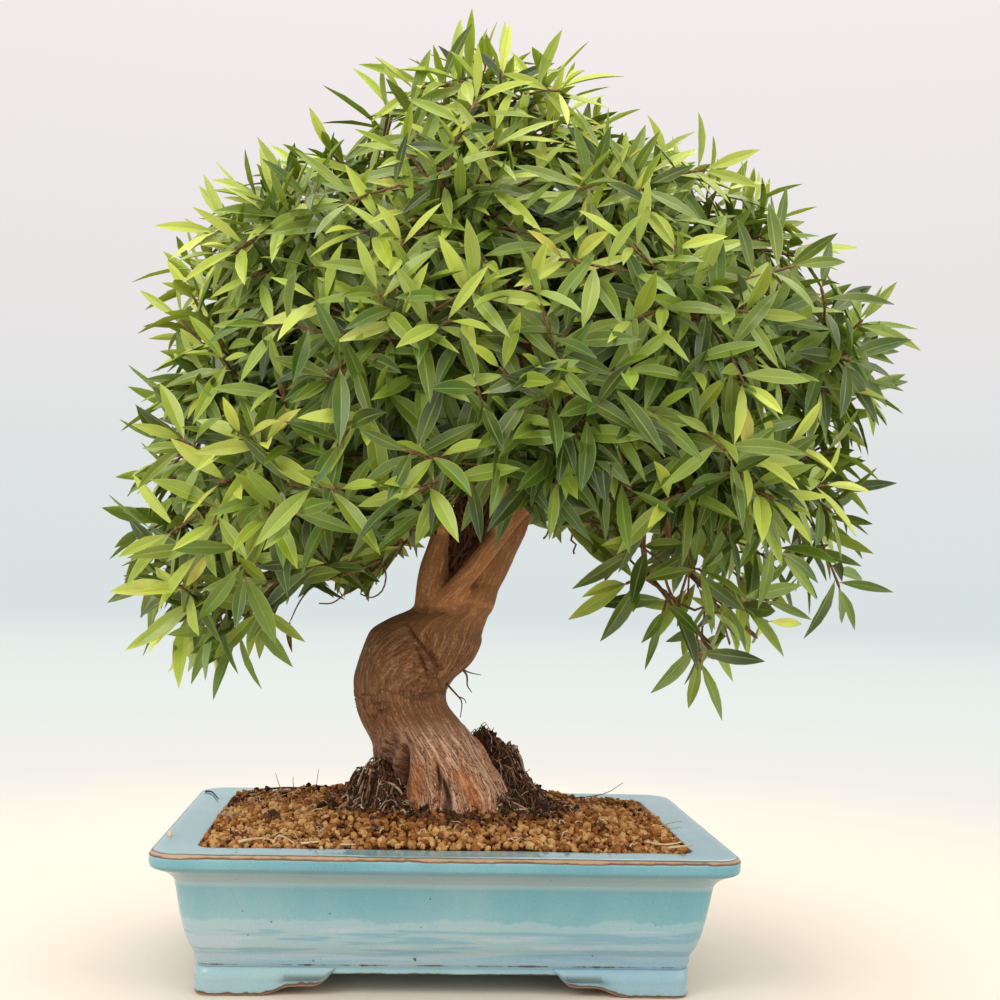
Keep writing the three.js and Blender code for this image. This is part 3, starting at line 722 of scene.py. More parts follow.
# %% [markdown]
# ## Shoots
#
# A spray is a twig with shoots on all sides. The first four shoots are those of the solid spray. Many more are
# needed for a crown as dense as the real one, so even directions over the cushion give the tips of the others, in
# three layers, and each of them belongs to the spray whose axis is nearest.

# %% The skirt of the crown
# Seeds of shoots: those of the solids count from 0, those of the layers from EXTRA, the named rosettes' from NAMED
EXTRA, NAMED = 5000, 9000
DELL_DEPTH = 30.0
# The photograph's place, for seeing points as it does
EYE_X, EYE_Y, EYE_Z = -49.0, -1232.0, 331.0
# The lower edge of the crown in front view, as (x, z)
SKIRT = np.array([
    (-309, 308), (-291, 296), (-259, 234), (-220, 212), (-200, 226), (-184, 257), (-153, 280), (-136, 304),
    (-106, 308), (-69, 306), (-52, 345), (-36, 342), (-10, 353), (-1, 396), (15, 409), (46, 407), (65, 376),
    (97, 362), (119, 364), (134, 322), (171, 278), (196, 226), (250, 196), (267, 261), (298, 290), (363, 286),
    (379, 330), (399, 364), (422, 429),
])


def front_view(points):
    """Where points are seen against the trunk's plane from the photograph's place, after similar triangles."""
    share = -EYE_Y / (points[:, 1] - EYE_Y)
    return EYE_X + (points[:, 0] - EYE_X) * share, EYE_Z + (points[:, 2] - EYE_Z) * share


def sparse(points):
    """How much thinner the crown is than elsewhere: most on its lower right, where single twigs hang out."""
    x, z = front_view(points)
    right = 0.97 * ease(x, 90, 130) * (1 - ease(x, 268, 300)) * (1 - ease(z, 376, 396))
    return np.maximum(right, 0.7 * ((x > 285) & (z < 352)) + 0.94 * ((x < -120) & (z < 312)) + 0.45 * (x > 296))


def dells(points):
    """Soft hollows between the pads of the crown, from 0 to 1: the upper half of noise in cells of 75 mm."""
    return ease(cloud(points, 75, 52), -0.05, 0.6)


def clears_skirt(points, seed):
    """True above the skirt, with a ragged edge, and for the leaves of named rosettes."""
    x, z = front_view(points)
    return (z > np.interp(x, *SKIRT.T) - 4 + 12 * chance(seed + 0.15) ** 2) | (seed >= 10 * NAMED)


# %% Shoots as arrays
# Layers of shoots: count, share of the reach, depth below it, chance added to that depth, leaves on a shoot
LAYERS = [(540, 1.0, 34.0, 34.0, 9), (290, 0.84, 44.0, 34.0, 8), (120, 0.64, 26.0, 40.0, 7)]
# Tips of rosettes that stand out on the crown's front, and of the loose shoots that hang below its edge
FRONT_TIPS = [
    (-69, -208, 540), (-156, -172, 516), (-106, -199, 476), (-13, -223, 517), (8, -221, 546), (-183, -143, 578),
    (-119, -152, 628), (-97, -172, 612), (-52, -201, 580), (20, -229, 484), (-140, -153, 609), (-203, -113, 600),
    (65, -219, 567), (117, -206, 584), (156, -197, 588), (117, -223, 521), (123, -224, 496), (67, -229, 493),
    (95, -227, 458), (51, -227, 532), (193, -136, 665), (263, -155, 585), (285, -148, 572), (216, -195, 537),
    (329, -124, 550), (212, -199, 479), (181, -208, 443), (78, -197, 625), (131, -178, 633), (313, -140, 512),
    (-34, -210, 393), (6, -228, 469), (67, -177, 403), (28, -216, 434), (-148, -184, 427), (-104, -200, 471),
    (-89, -204, 391), (-123, -190, 371), (-45, -218, 420), (-164, -152, 322), (-218, -118, 315), (-221, -130, 431),
    (-11, -112, 736), (-49, -107, 728), (74, -133, 724), (3, -160, 704), (-56, -162, 660),
]
HANGING_TIPS = [
    (150, -95, 359), (204, -100, 339), (142, -85, 326), (173, -90, 302), (209, -80, 261), (321, 10, 355),
    (298, 30, 350), (347, 0, 412), (257, -60, 413), (199, -110, 381), (251, -60, 307), (350, -10, 326),
    (-198, -75, 276), (-180, -60, 268), (-226, -62, 284), (-160, -80, 290), (-248, -40, 316),
]


def pairs(first, second):
    """Each number below first with each number below second, as two rows."""
    return (rows.ravel() for rows in np.meshgrid(np.arange(first), np.arange(second), indexing="ij"))


def table(**columns):
    """A table of shoots: columns of equal length, where a single number stands for a whole column."""
    count = len(columns["seed"])
    return {name: values if np.ndim(values) else np.full(count, values) for name, values in columns.items()}


def solid_shoots():
    """The shoots of the solids: the axis itself, and three that run from it to points on circles round it."""
    number, j = pairs(len(AXES), 4)
    seed = number * 100 + j
    turn = j * GOLDEN + number * 1.7
    spread = np.where(j > 0, 30 + 16 * chance(seed), 0)
    foot = np.where(j > 0, LENGTHS[number] * (0.24 * j - 0.1), 0.35)
    reach = LENGTHS[number] * np.where(j > 0, mix(0.62, 0.86, chance(seed + 50)), 1)
    start = BASES[number] + AXES[number] * foot[:, None]
    tip = BASES[number] + AXES[number] * reach[:, None]
    tip += (ACROSS[number] * np.cos(turn)[:, None] + UPRIGHT[number] * np.sin(turn)[:, None]) * spread[:, None]
    return table(spray=number, seed=seed, start=start, bend=(start + tip) / 2, tip=tip,
                 width=np.where(j > 0, 1.2, 2.0), gap=5.0, leaves=8, layer=0)


def layer_shoots(layer):
    """Shoots of a layer: from a twig, parting from it early, in an arc to a tip below the cushion."""
    count, share, back, spread, leaves = LAYERS[layer]
    seed = EXTRA + 1000 * layer + np.arange(count)
    turn, depth = golden(count, 0.4 + layer)
    surface, is_open = crown_surface(turn + 0.2 * (chance(seed) - 0.5), depth * (0.97 + 0.06 * chance(seed + 0.3)))
    reach = np.linalg.norm(surface, axis=1) * share - back - spread * chance(seed + 0.6)
    way = unit(surface)
    tip = CROWN_CENTRE + way * (reach - DELL_DEPTH * dells(surface))[:, None]
    number = np.argmax(way @ AXES.T, axis=1)
    out = tip - BASES[number]
    axial = np.sum(out * AXES[number], axis=1)
    lateral = np.linalg.norm(out - axial[:, None] * AXES[number], axis=1)
    start = BASES[number] + AXES[number] * np.clip(axial - 1.7 * lateral, 2, 0.66 * LENGTHS[number])[:, None]
    long = np.linalg.norm(tip - start, axis=1)
    shoots = table(spray=number, seed=seed, start=start, bend=start + AXES[number] * (0.4 * long)[:, None], tip=tip,
                   width=1.0 + 0.003 * long, gap=6.0 + 1.5 * chance(seed + 0.8), leaves=leaves, layer=layer)
    kept = ~is_open & (chance(seed + 0.77) > sparse(tip))
    return {name: values[kept] for name, values in shoots.items()}


def rosette_shoots():
    """Shoots to the named tips: each leaves the nearest spray, along it on the crown and in a sag below it."""
    tips = np.array(FRONT_TIPS + HANGING_TIPS, float)
    hangs = np.arange(len(tips)) >= len(FRONT_TIPS)
    seed = NAMED + np.arange(len(tips), dtype=float)
    number = np.argmin(np.linalg.norm(BASES + AXES * LENGTHS[:, None] - tips[:, None], axis=2), axis=1)
    start = BASES[number] + AXES[number] * (0.45 * LENGTHS[number])[:, None]
    out = start + AXES[number] * (0.5 * np.linalg.norm(tips - start, axis=1))[:, None]
    bend = np.where(hangs[:, None], (start + tips) / 2 + (0, -8, 26), out)
    return table(spray=number, seed=seed, start=start, bend=bend, tip=tips, width=1.3, gap=4.2 + 1.5 * chance(seed),
                 leaves=np.where(hangs, 6, 9), layer=0)


def all_shoots():
    """The tables of all kinds of shoots, one below the other."""
    kinds = [solid_shoots(), *(layer_shoots(layer) for layer in range(len(LAYERS))), rosette_shoots()]
    return {name: np.concatenate([kind[name] for kind in kinds]) for name in kinds[0]}


SHOOTS = all_shoots()
print("shoots", len(SHOOTS["seed"]))

# %% [markdown]
# ## Leaves
#
# A willow leaf fig has narrow leaves, 50 to 65 mm long and 10 to 14 mm wide, folded a little along a pale midrib,
# with a drawn-out tip. Each is a short stalk and a blade: eight rings of four points, the middle and both rims on
# top and the rib below. They leave the shoot one by one, each turned on by the golden angle, and crowd into a
# rosette at its tip. The young ones there are lime.

# %% Leaf shape
LEAF_LENGTH, LEAF_WIDTH, MOST_LEAVES = 62, 13.6, 9
# Rings of a leaf as [share of its length, share of its half width]; the first is on the stalk
LEAF_RINGS = np.array([(0.06, 0.09), (0.17, 0.43), (0.29, 0.75), (0.43, 0.97), (0.57, 1.0), (0.71, 0.84),
                       (0.84, 0.54), (0.94, 0.21)])
# Points round a ring: sideways share, whether it is the rib below, its rim (1 is the blade's edge, 2 its middle)
LEAF_SIDES = np.array([(1, 0, 1), (0, 1, 0), (-1, 0, 1), (0, 0, 2)])


def leaf_patterns():
    """The faces of one leaf: those on top, and those below, as quads between rings and triangles at the ends."""
    rings, sides = len(LEAF_RINGS), len(LEAF_SIDES)
    quads = wall(rings, sides).reshape(rings - 1, sides, 4)
    ends = np.stack(caps(rings, sides))
    return [quads[:, 2:].reshape(-1, 4), ends[:, 2:].reshape(-1, 3), quads[:, :2].reshape(-1, 4),
            ends[:, :2].reshape(-1, 3)]


def leaf_points(foot, way, face, length, width, droop, fold, sickle):
    """Leaves as points (n, 34, 3): along by share, sideways by half width, down by droop times share squared."""
    edge = np.cross(way, face)
    share, half = (column[None, :, None] for column in LEAF_RINGS.T)
    sideways, below, _ = LEAF_SIDES.T
    bend = -(0.55 * face + 0.45 * np.array([0, 0, 1])) * droop[:, None] + edge * sickle[:, None]

    def centre(s):
        """The leaf's middle line at shares of its length."""
        return foot[:, None] + length[:, None, None] * (way[:, None] * s + bend[:, None] * s * s)

    spread = half * sideways * width[:, None, None] / 2
    lift = np.abs(spread) * fold[:, None, None] - 0.55 * below * (0.5 + half)
    lift += 0.06 * np.abs(spread) * np.sin(share * 21 + sideways * 2 + length[:, None, None])
    rings = centre(share)[:, :, None] + edge[:, None, None] * spread[..., None]
    rings = rings + face[:, None, None] * lift[..., None]
    return np.concatenate([rings.reshape(len(foot), -1, 3), centre(0.0), centre(1.0)], axis=1)


LEAF_WAY = np.stack(np.broadcast_arrays(0.5 + 0.5 * LEAF_SIDES[:, 0], LEAF_RINGS[:, :1]), -1).reshape(-1, 2)
LEAF_WAY = np.concatenate([LEAF_WAY, [(0.5, 0.0), (0.5, 1.0)]])
LEAF_RIM = np.append(np.tile(LEAF_SIDES[:, 2], len(LEAF_RINGS)), [1, 1])
# The left rim in the middle of a leaf, and its tip
LEAF_FLANK, LEAF_TIP = 18, -1
print("a leaf has", len(LEAF_WAY), "points and", sum(len(f) for f in leaf_patterns()), "faces")

# %% Leaves on their shoots


def leaf_stance(shoot, k, seed, high):
    """Where leaf k of a shoot stands, which way it points and where its face looks.

    It sits further back on the shoot than leaf k - 1, is turned on by the golden angle, and leans out the more, the
    further back it is. Its face looks out of the crown and up to the light, and is then rolled a little by chance.
    """
    extra = shoot["seed"] >= EXTRA
    start, bend, tip, gap = (shoot[name] for name in ("start", "bend", "tip", "gap"))
    spaced = np.where(extra, 1.5 + gap * (0.25 * k + 0.085 * k * k), 3 + gap * k)
    t = np.maximum(1 - spaced / np.maximum(np.linalg.norm(tip - start, axis=1), 1), 0.06)[:, None]
    foot = arc(start, bend, tip, t)
    light = unit(tip - CROWN_CENTRE) * (0.2, 0.9, 0) + (0, 0, 0.3)
    along = unit(unit((bend - start) * (1 - t) + (tip - bend) * t) + light * extra[:, None])
    turn = (k * GOLDEN + shoot["seed"])[:, None]
    side = unit(np.cross(SKEW, along))
    open_lean = 20 + (66 - 16 * high) * (1 - np.exp(-k / 1.9)) + 24 * (chance(seed) - 0.5)
    lean = np.radians(np.where(extra, open_lean, np.where(k > 0, mix(44, 76, chance(seed)), 14)))[:, None]
    way = along * np.cos(lean) + (side * np.cos(turn) + np.cross(along, side) * np.sin(turn)) * np.sin(lean)
    way[:, 2] -= np.where(extra, 0.14, 0.28)
    way = unit(way)
    face = unit((foot - CROWN_CENTRE) * (0.55, 1.9, 0.45)) + (0, 0, 0.42)
    face[:, 1] -= 0.9 * (shoot["seed"] >= NAMED)
    face = unit(face - np.sum(face * way, axis=1, keepdims=True) * way)
    roll = (chance(seed + 0.2) - 0.5)[:, None]
    return foot, way, face * np.cos(roll) + np.cross(way, face) * np.sin(roll)


def leaf_looks(shoot, k, seed, high):
    """How young a leaf is and its tone: younger at a shoot's tip and high up, with painted shade inside and in the
    dells.
    """
    dell = dells(shoot["tip"] - CROWN_CENTRE) * (shoot["seed"] >= EXTRA)
    youth = 0.95 * chance(shoot["seed"] + 0.55) ** 1.7 + 0.58 * high + 0.25 * ease(shoot["tip"][:, 2], 640, 780)
    # Older leaves inside the crown; the drop in the dells is painted shade.
    youth = youth - 0.12 - 0.24 * shoot["layer"] - 0.32 * dell
    age = youth * (1.3 - 0.2 * k) + 0.3 * (chance(seed + 0.9) - 0.5)
    tone = np.clip(0.8 * chance(seed + 0.1) + 0.6 * chance(shoot["seed"] + 0.31) - 0.2, 0, 1)
    # Painted shade: the tone drops in deeper layers, further back on a shoot and in the dells.
    tone = tone * (1 - 0.46 * shoot["layer"]) - 0.035 * k + 0.04 - 0.22 * dell
    return np.clip(age, 0, 1), np.clip(tone, 0, 1)


def leaves_of(shoots):
    """The leaves of all shoots, but for those that would hang below the crown's skirt."""
    who, k = pairs(len(shoots["seed"]), MOST_LEAVES)
    thinned = (shoots["seed"][who] < EXTRA) & (k > 1) & (sparse(shoots["tip"][who]) > 0.5)
    kept = (k < shoots["leaves"][who]) & ~thinned
    who, k = who[kept], k[kept]
    shoot = {name: values[who] for name, values in shoots.items()}
    seed = shoot["seed"] * 10 + k
    high = ease(shoot["tip"][:, 2] - 0.25 * shoot["tip"][:, 0], 400, 760)
    size = mix(0.78, 1.06, chance(seed + 7)) * np.where(k == 0, 0.78, 1) * np.where(k == 1, 0.9, 1)
    width = LEAF_WIDTH * size * mix(0.8, 1.12, chance(seed + 0.4)) * (1 - 0.28 * high)
    points = leaf_points(*leaf_stance(shoot, k, seed, high), LEAF_LENGTH * size, width,
                         mix(0.04, 0.24, chance(seed + 0.5)), mix(0.2, 0.65, chance(seed + 0.6)),
                         mix(-0.12, 0.12, chance(seed + 0.7)))
    age, tone = leaf_looks(shoot, k, seed, high)
    kept = clears_skirt(points[:, LEAF_TIP], seed) & clears_skirt(points[:, LEAF_FLANK], seed)
    leaves = {"points": points, "spray": shoot["spray"], "shoot": who, "age": age, "tone": tone}
    return {name: values[kept] for name, values in leaves.items()}


def twigs_of(shoots):
    """Twigs along the shoots' arcs, a little crooked, swollen at the leaves and ending in a pointed bud."""
    t = np.array([0, 0.22, 0.44, 0.66, 0.86, 0.97, 1.0])[None, :, None]
    paths = arc(*(shoots[name][:, None] for name in ("start", "bend", "tip")), t)
    crook = chance(shoots["seed"][:, None, None] * 7 + t * 31 + np.arange(3)) - 0.5
    radii = shoots["width"][:, None] * np.array([1.15, 1.0, 0.95, 0.85, 0.85, 1.05, 0.25])
    return paths + crook * 5 * (t * (1 - t) * 4), radii


LEAVES = leaves_of(SHOOTS)
print("leaves", len(LEAVES["age"]))

# %% [markdown]
# ## Leaf and twig finishes
#
# The top of a leaf is a satin green with a pale midrib and faint side veins, and the underside is duller and paler.
# Each leaf carries how young it is and a tone of its own, so the colours vary from blade to blade. The tone also
# holds painted shade, darker inside the crown.

# %% Leaf finishes


def leaf_finish(name, under):
    """Green by tone, from mature to young by age, under side veins, midrib, hem, painted light and sheen, and its
    stalk.
    """
    finish = Finish(name)
    way = finish.split(finish.node("ShaderNodeUVMap", {"uv_map": "way"}))
    along, aside = way.part("Y"), (way.part("X") - 0.5).maths("ABSOLUTE") * 2
    age = finish.carried("age")
    mottle = finish.noise(finish.places(), 90.0, 2.0)
    tone = finish.carried("tone") * 0.85 + mottle * 0.15
    # The palest stop of the mature green is a painted sheen on glossy leaves.
    mature = finish.ramp(tone, (0.05, (0.014, 0.038, 0.001)), (0.35, (0.050, 0.116, 0.005)),
                         (0.6, (0.125, 0.222, 0.009)), (0.8, (0.25, 0.36, 0.026)), (0.95, (0.36, 0.46, 0.12)))
    young = finish.ramp(tone, (0.1, (0.37, 0.48, 0.012)), (0.86, (0.74, 0.80, 0.13)), (0.97, (0.54, 0.38, 0.05)))
    vein = (along * 150 - aside * 17).maths("SINE") * 0.5 + 0.5
    rib = (1 - finish.step(aside, 0.05, 0.14)) * (1 - along * 0.5)
    hem = finish.step(aside, 0.86, 0.97) * finish.step(along, 0.1, 0.2)
    colour = finish.layers(
        mature,
        (age, young),
        (vein * 0.06, (0.40, 0.52, 0.10)),
        (rib * (age * 0.3 + 0.45), (0.56, 0.64, 0.17)),
        (hem * (age * 0.5 + 0.3), (0.55, 0.62, 0.15)),
        # Painted light along the blade's curve: it is lighter towards the stalk.
        (finish.step(along, 0.75, 0.1) * 0.22, (0.50, 0.58, 0.14)),
        (1 - finish.step(along, 0.06, 0.15), (0.42, 0.36, 0.09)),
        (0.3 if under else 0.0, (0.34, 0.45, 0.09)),
    )
    normal = finish.bump(vein * 0.4 + mottle * 0.6 - rib, 0.3, 0.0006)
    return finish.set(Base_Color=colour, Roughness=0.55 if under else 0.36, Normal=normal,
                      Specular_IOR_Level=0.3 if under else 0.62)


def twig_finish():
    """Brown bark with fine flecks, from nearly black to tan."""
    finish = Finish("brown_twig")
    fleck = finish.noise(finish.places(), 420.0, 3.0, 0.6)
    colour = finish.ramp(fleck, (0.3, (0.06, 0.026, 0.008)), (0.5, (0.165, 0.078, 0.024)),
                         (0.72, (0.36, 0.20, 0.075)))
    return finish.set(Base_Color=colour, Roughness=0.75, Normal=finish.bump(fleck, 0.5, 0.0008))


TWIG = twig_finish()
LEAF_FINISHES = [leaf_finish("leaf_top", False), leaf_finish("leaf_underside", True), TWIG]

# %% Build the sprays


def build_sprays():
    """One piece for each spray: all its leaves, then its twigs that bear leaves, and its axis."""
    patterns = leaf_patterns()
    paths, radii = twigs_of(SHOOTS)
    is_axis = (SHOOTS["seed"] % 100 == 0) & (SHOOTS["seed"] < EXTRA)
    leafy = np.isin(np.arange(len(paths)), LEAVES["shoot"]) | is_axis
    for number in range(len(AXES)):
        shape = Shape()
        chosen = LEAVES["spray"] == number
        count = int(chosen.sum())
        points, faces = repeat(LEAVES["points"][chosen], patterns)
        age, tone = (np.repeat(LEAVES[name][chosen], len(LEAF_RIM)) for name in ("age", "tone"))
        shape.add(points, faces, [0, 0, 1, 1], way=np.tile(LEAF_WAY, (count, 1)), rim=np.tile(LEAF_RIM, count),
                  age=age, tone=tone)
        bars = leafy & (SHOOTS["spray"] == number)
        shape.add(*tubes(paths[bars], radii[bars], 5), 2)
        name = f"spray_{number + 1:02d}"
        place(name, shape.mesh(name), LEAF_FINISHES, "leaf", f"leaf_spray_{number + 1:02d}")
    print("sprays built", len(AXES))


build_sprays()

# %% [markdown]
# ## The trunk's form
#
# The trunk rises from a flare of roots, swings out to the left in a knee, comes back, and splits into a dozen limbs.
# Its level sections are kept in a table, and the limbs as lines with a radius at each end. Bars that merely cross
# would show hard creases, so the lot is laid over with a fine grid of cells and drawn anew as one skin.

# %% Trunk and limb sizes
# Level sections: height, middle in x and y, half width, half depth
TRUNK_SECTIONS = np.array([
    (84, 3, 2, 57, 50), (124, 3, 2, 56, 49), (137, 3, 1, 51, 46), (150, -1, 0, 46, 43), (175, -13, -2, 43, 41),
    (200, -29, -4, 42, 40), (218, -39, -5, 40, 40), (235, -40, -6, 43, 42), (253, -31, -6, 50, 44),
    (271, -24, -5, 51, 44), (281, -20.5, -4, 48, 42), (291, -11.5, -2, 42.5, 38), (300, 3, 0, 35.5, 34),
    (318, 8, 3, 36, 28), (328, 13, 5, 25, 17),
])
# Ridges of the root flare: angle in degrees, height as a share of the radius, half width in degrees
BUTTRESSES = np.array([(-118, 0.12, 12), (-90, 0.16, 16), (-52, 0.18, 18), (-8, 0.15, 20), (40, 0.16, 18),
                       (92, 0.15, 18), (140, 0.16, 18), (188, 0.14, 16)])
# Limbs: first radius, last radius, places along them
LIMBS = [
    (19, 6, [(-13, -8, 300), (-15, -9, 325), (-13, -12, 350), (-8, -15, 380)]),
    (6.5, 4.5, [(-8, -14, 374), (-26, -20, 424), (-92, -18, 478)]),
    (7, 5, [(-9, -15, 370), (-50, -26, 398), (-108, -40, 416)]),
    (9.5, 5, [(-10, -20, 304), (14, -33, 331), (36, -41, 360), (57, -48, 387), (96, -62, 420), (134, -66, 430)]),
    (28, 9, [(4, 1, 288), (16, 4, 314), (36, 8, 354), (58, 10, 402), (64, 8, 470), (52, 4, 545), (46, 0, 590)]),
    (15, 7, [(12, 18, 305), (22, 34, 360), (34, 66, 412), (44, 104, 448)]),
    (15, 7, [(60, 10, 396), (98, 18, 436), (150, 20, 468), (186, 16, 486)]),
    (7, 2.5, [(88, -58, 412), (128, -60, 398), (164, -62, 376)]),
    (7, 5, [(40, -42, 372), (40, -70, 404), (42, -106, 444)]),
    (11, 6, [(64, 8, 466), (26, -2, 516), (-26, -10, 556)]),
    (11, 6, [(60, 6, 498), (104, 4, 544), (140, 0, 578)]),
]
LIMB_STEPS = 60
LINES = np.array([smooth_path(places, LIMB_STEPS) for _, _, places in LIMBS])
LINE_RADII = np.array([np.linspace(first, last, LIMB_STEPS) for first, last, _ in LIMBS])
# A stout limb that fills the back of the fork: first radius, last radius, places along it
FORK_LIMB = (14, 8, [(4, 12, 312), (10, 20, 360), (15, 26, 410), (20, 20, 460)])
SECTION_TABLE = smooth_path(TRUNK_SECTIONS, 160)

# %% Raw wood


def section_at(z):
    """The trunk's section at heights: middle and half sizes read from the smoothed table."""
    return [np.interp(z, SECTION_TABLE[:, 0], SECTION_TABLE[:, k]) for k in range(1, 5)]


def trunk_relief(angle, z):
    """How far the wood stands out: bell-shaped ridges at the foot that fade above it, and a slow twist of knots."""
    away = (np.degrees(angle)[..., None] - BUTTRESSES[:, 0] + 540) % 360 - 180
    ridges = np.sum(BUTTRESSES[:, 1] * np.exp(-(away / BUTTRESSES[:, 2]) ** 2), axis=-1) - 0.07
    return 1 + (1 - ease(z, 140, 215)) * ridges + 0.03 * np.sin(3 * angle + z / 19) * ease(z, 150, 220)


def trunk_skin(sides=120):
    """The trunk up to the fork, as rings: the section's half sizes times the relief, round the section's middle."""
    z = SECTION_TABLE[:, :1]
    cx, cy, half_x, half_y = section_at(z)
    angle = np.arange(sides)[None, :] / sides * 2 * np.pi
    out = trunk_relief(angle, z)
    rings = xyz(cx + half_x * out * np.cos(angle), cy + half_y * out * np.sin(angle), z)
    return closed(rings, [(3, 2, 84), (14, 5, 331)])


def fused(shape, cell, rounds):
    """One skin round crossing bodies: a grid of cells is laid over them, its edge is drawn and then softened."""
    raw = link("raw", shape.mesh("raw"))
    cells = raw.modifiers.new("cells", "REMESH")
    cells.mode, cells.voxel_size = "VOXEL", cell / 1000
    soft = raw.modifiers.new("soft", "SMOOTH")
    soft.factor, soft.iterations = 0.5, rounds
    result = settled(raw)
    points, normals = np.zeros(len(result.vertices) * 3), np.zeros(len(result.vertices) * 3)
    result.vertices.foreach_get("co", points)
    result.vertex_normals.foreach_get("vector", normals)
    faces = np.zeros(len(result.loops), int)
    result.loops.foreach_get("vertex_index", faces)
    return points.reshape(-1, 3) * 1000 - POT_CENTRE, normals.reshape(-1, 3), faces.reshape(-1, 4)


def raw_wood():
    """The trunk, its limbs and the stout one in the fork, all crossing each other."""
    fork = tubes(smooth_path(FORK_LIMB[2], LIMB_STEPS)[None], np.linspace(*FORK_LIMB[:2], LIMB_STEPS)[None], 20)
    return Shape().add(*trunk_skin()).add(*tubes(LINES, LINE_RADII, 20)).add(*fork)


WOOD, WOOD_NORMALS, WOOD_FACES = fused(raw_wood(), 1.8, 4)
print("wood faces", len(WOOD_FACES))

# %% [markdown]
# ## The flow of the bark
#
# Bark is fibrous, and its fibres run along the wood: straight up the trunk, round the knee, out along a limb. So
# every point learns which line of wood it lies on, how far along and at what angle round it. Those three make a
# second set of coordinates, squeezed along the wood, and noise on them comes out as long streaks.

# %% Coordinates along the wood
SQUEEZE = 0.14
# The way along starts at 0 on the trunk, at 90, 180 and so on for the limbs, and at 900 on the knee. It is below
# TRUNK_FLOW on the trunk alone, and past TIGHT_FLOW, on the knee and the last limbs, the bark is tight.
LIMB_FLOW, KNEE_FLOW, TRUNK_FLOW, TIGHT_FLOW = 90, 900, 60, 600
# The knee: the middle of its arcs as (x, z), its mean radius, and the fold that ends it as x for heights
KNEE_MIDDLE, KNEE_RADIUS = (-24, 228), 45.0
KNEE_FOLD = np.array([(226, -3), (243, -11), (256, -16), (270, -25), (280, -32), (297, -44)])


def bark_flow(points):
    """Streak coordinates: cosine and sine of the angle round the nearest wood times its radius, and way along."""
    cx, cy, half_x, half_y = section_at(points[:, 2])
    x, y = (points[:, 0] - cx) / half_x, (points[:, 1] - cy) / half_y
    best = np.hypot(x, y) + 2 * ease(points[:, 2] + 14 * cloud(points, 11, 31), 292, 334)
    angle = np.arctan2(y, x)
    flow = xyz(46 * np.cos(angle), 46 * np.sin(angle), points[:, 2] * SQUEEZE)
    for number, (line, radii) in enumerate(zip(LINES, LINE_RADII)):
        away = np.linalg.norm(points[:, None] - line[None], axis=2)
        k = np.argmin(away / radii, axis=1)
        near = away[np.arange(len(points)), k] / radii[k]
        tangent = unit(np.gradient(line, axis=0))[k]
        side = unit(np.cross(SKEW, tangent))
        out = points - line[k]
        turn = np.arctan2(np.sum(out * np.cross(tangent, side), axis=1), np.sum(out * side, axis=1))
        length = length_along(line)[k] + np.sum(out * tangent, axis=1)
        mine = near < best
        best = np.where(mine, near, best)
        here = xyz(radii[k] * np.cos(turn), radii[k] * np.sin(turn), length * SQUEEZE + LIMB_FLOW * (number + 1))
        flow = np.where(mine[:, None], here, flow)
    x, z = points[:, 0] - KNEE_MIDDLE[0], points[:, 2] - KNEE_MIDDLE[1]
    above = points[:, 2] > KNEE_FOLD[0, 0] + 6 * cloud(points, 11, 31)
    knee = above & (points[:, 0] < np.interp(points[:, 2], *KNEE_FOLD.T))
    arcs = xyz(np.hypot(x, z), points[:, 1], KNEE_RADIUS * np.arctan2(z, -x) * SQUEEZE + KNEE_FLOW)
    return np.where(knee[:, None], arcs, flow)


FLOW = bark_flow(WOOD)

# %% [markdown]
# ## Flutes, creases and knots
#
# At the foot the roots have grown together into braided flutes. On the knee the bark is tight, with one deep fold
# where the trunk turns back, a level crack below it, and a few knots. Each mark is a line or a spot on the front
# view with a depth and a width, and like marks are set on the back, which the photograph doesn't show.

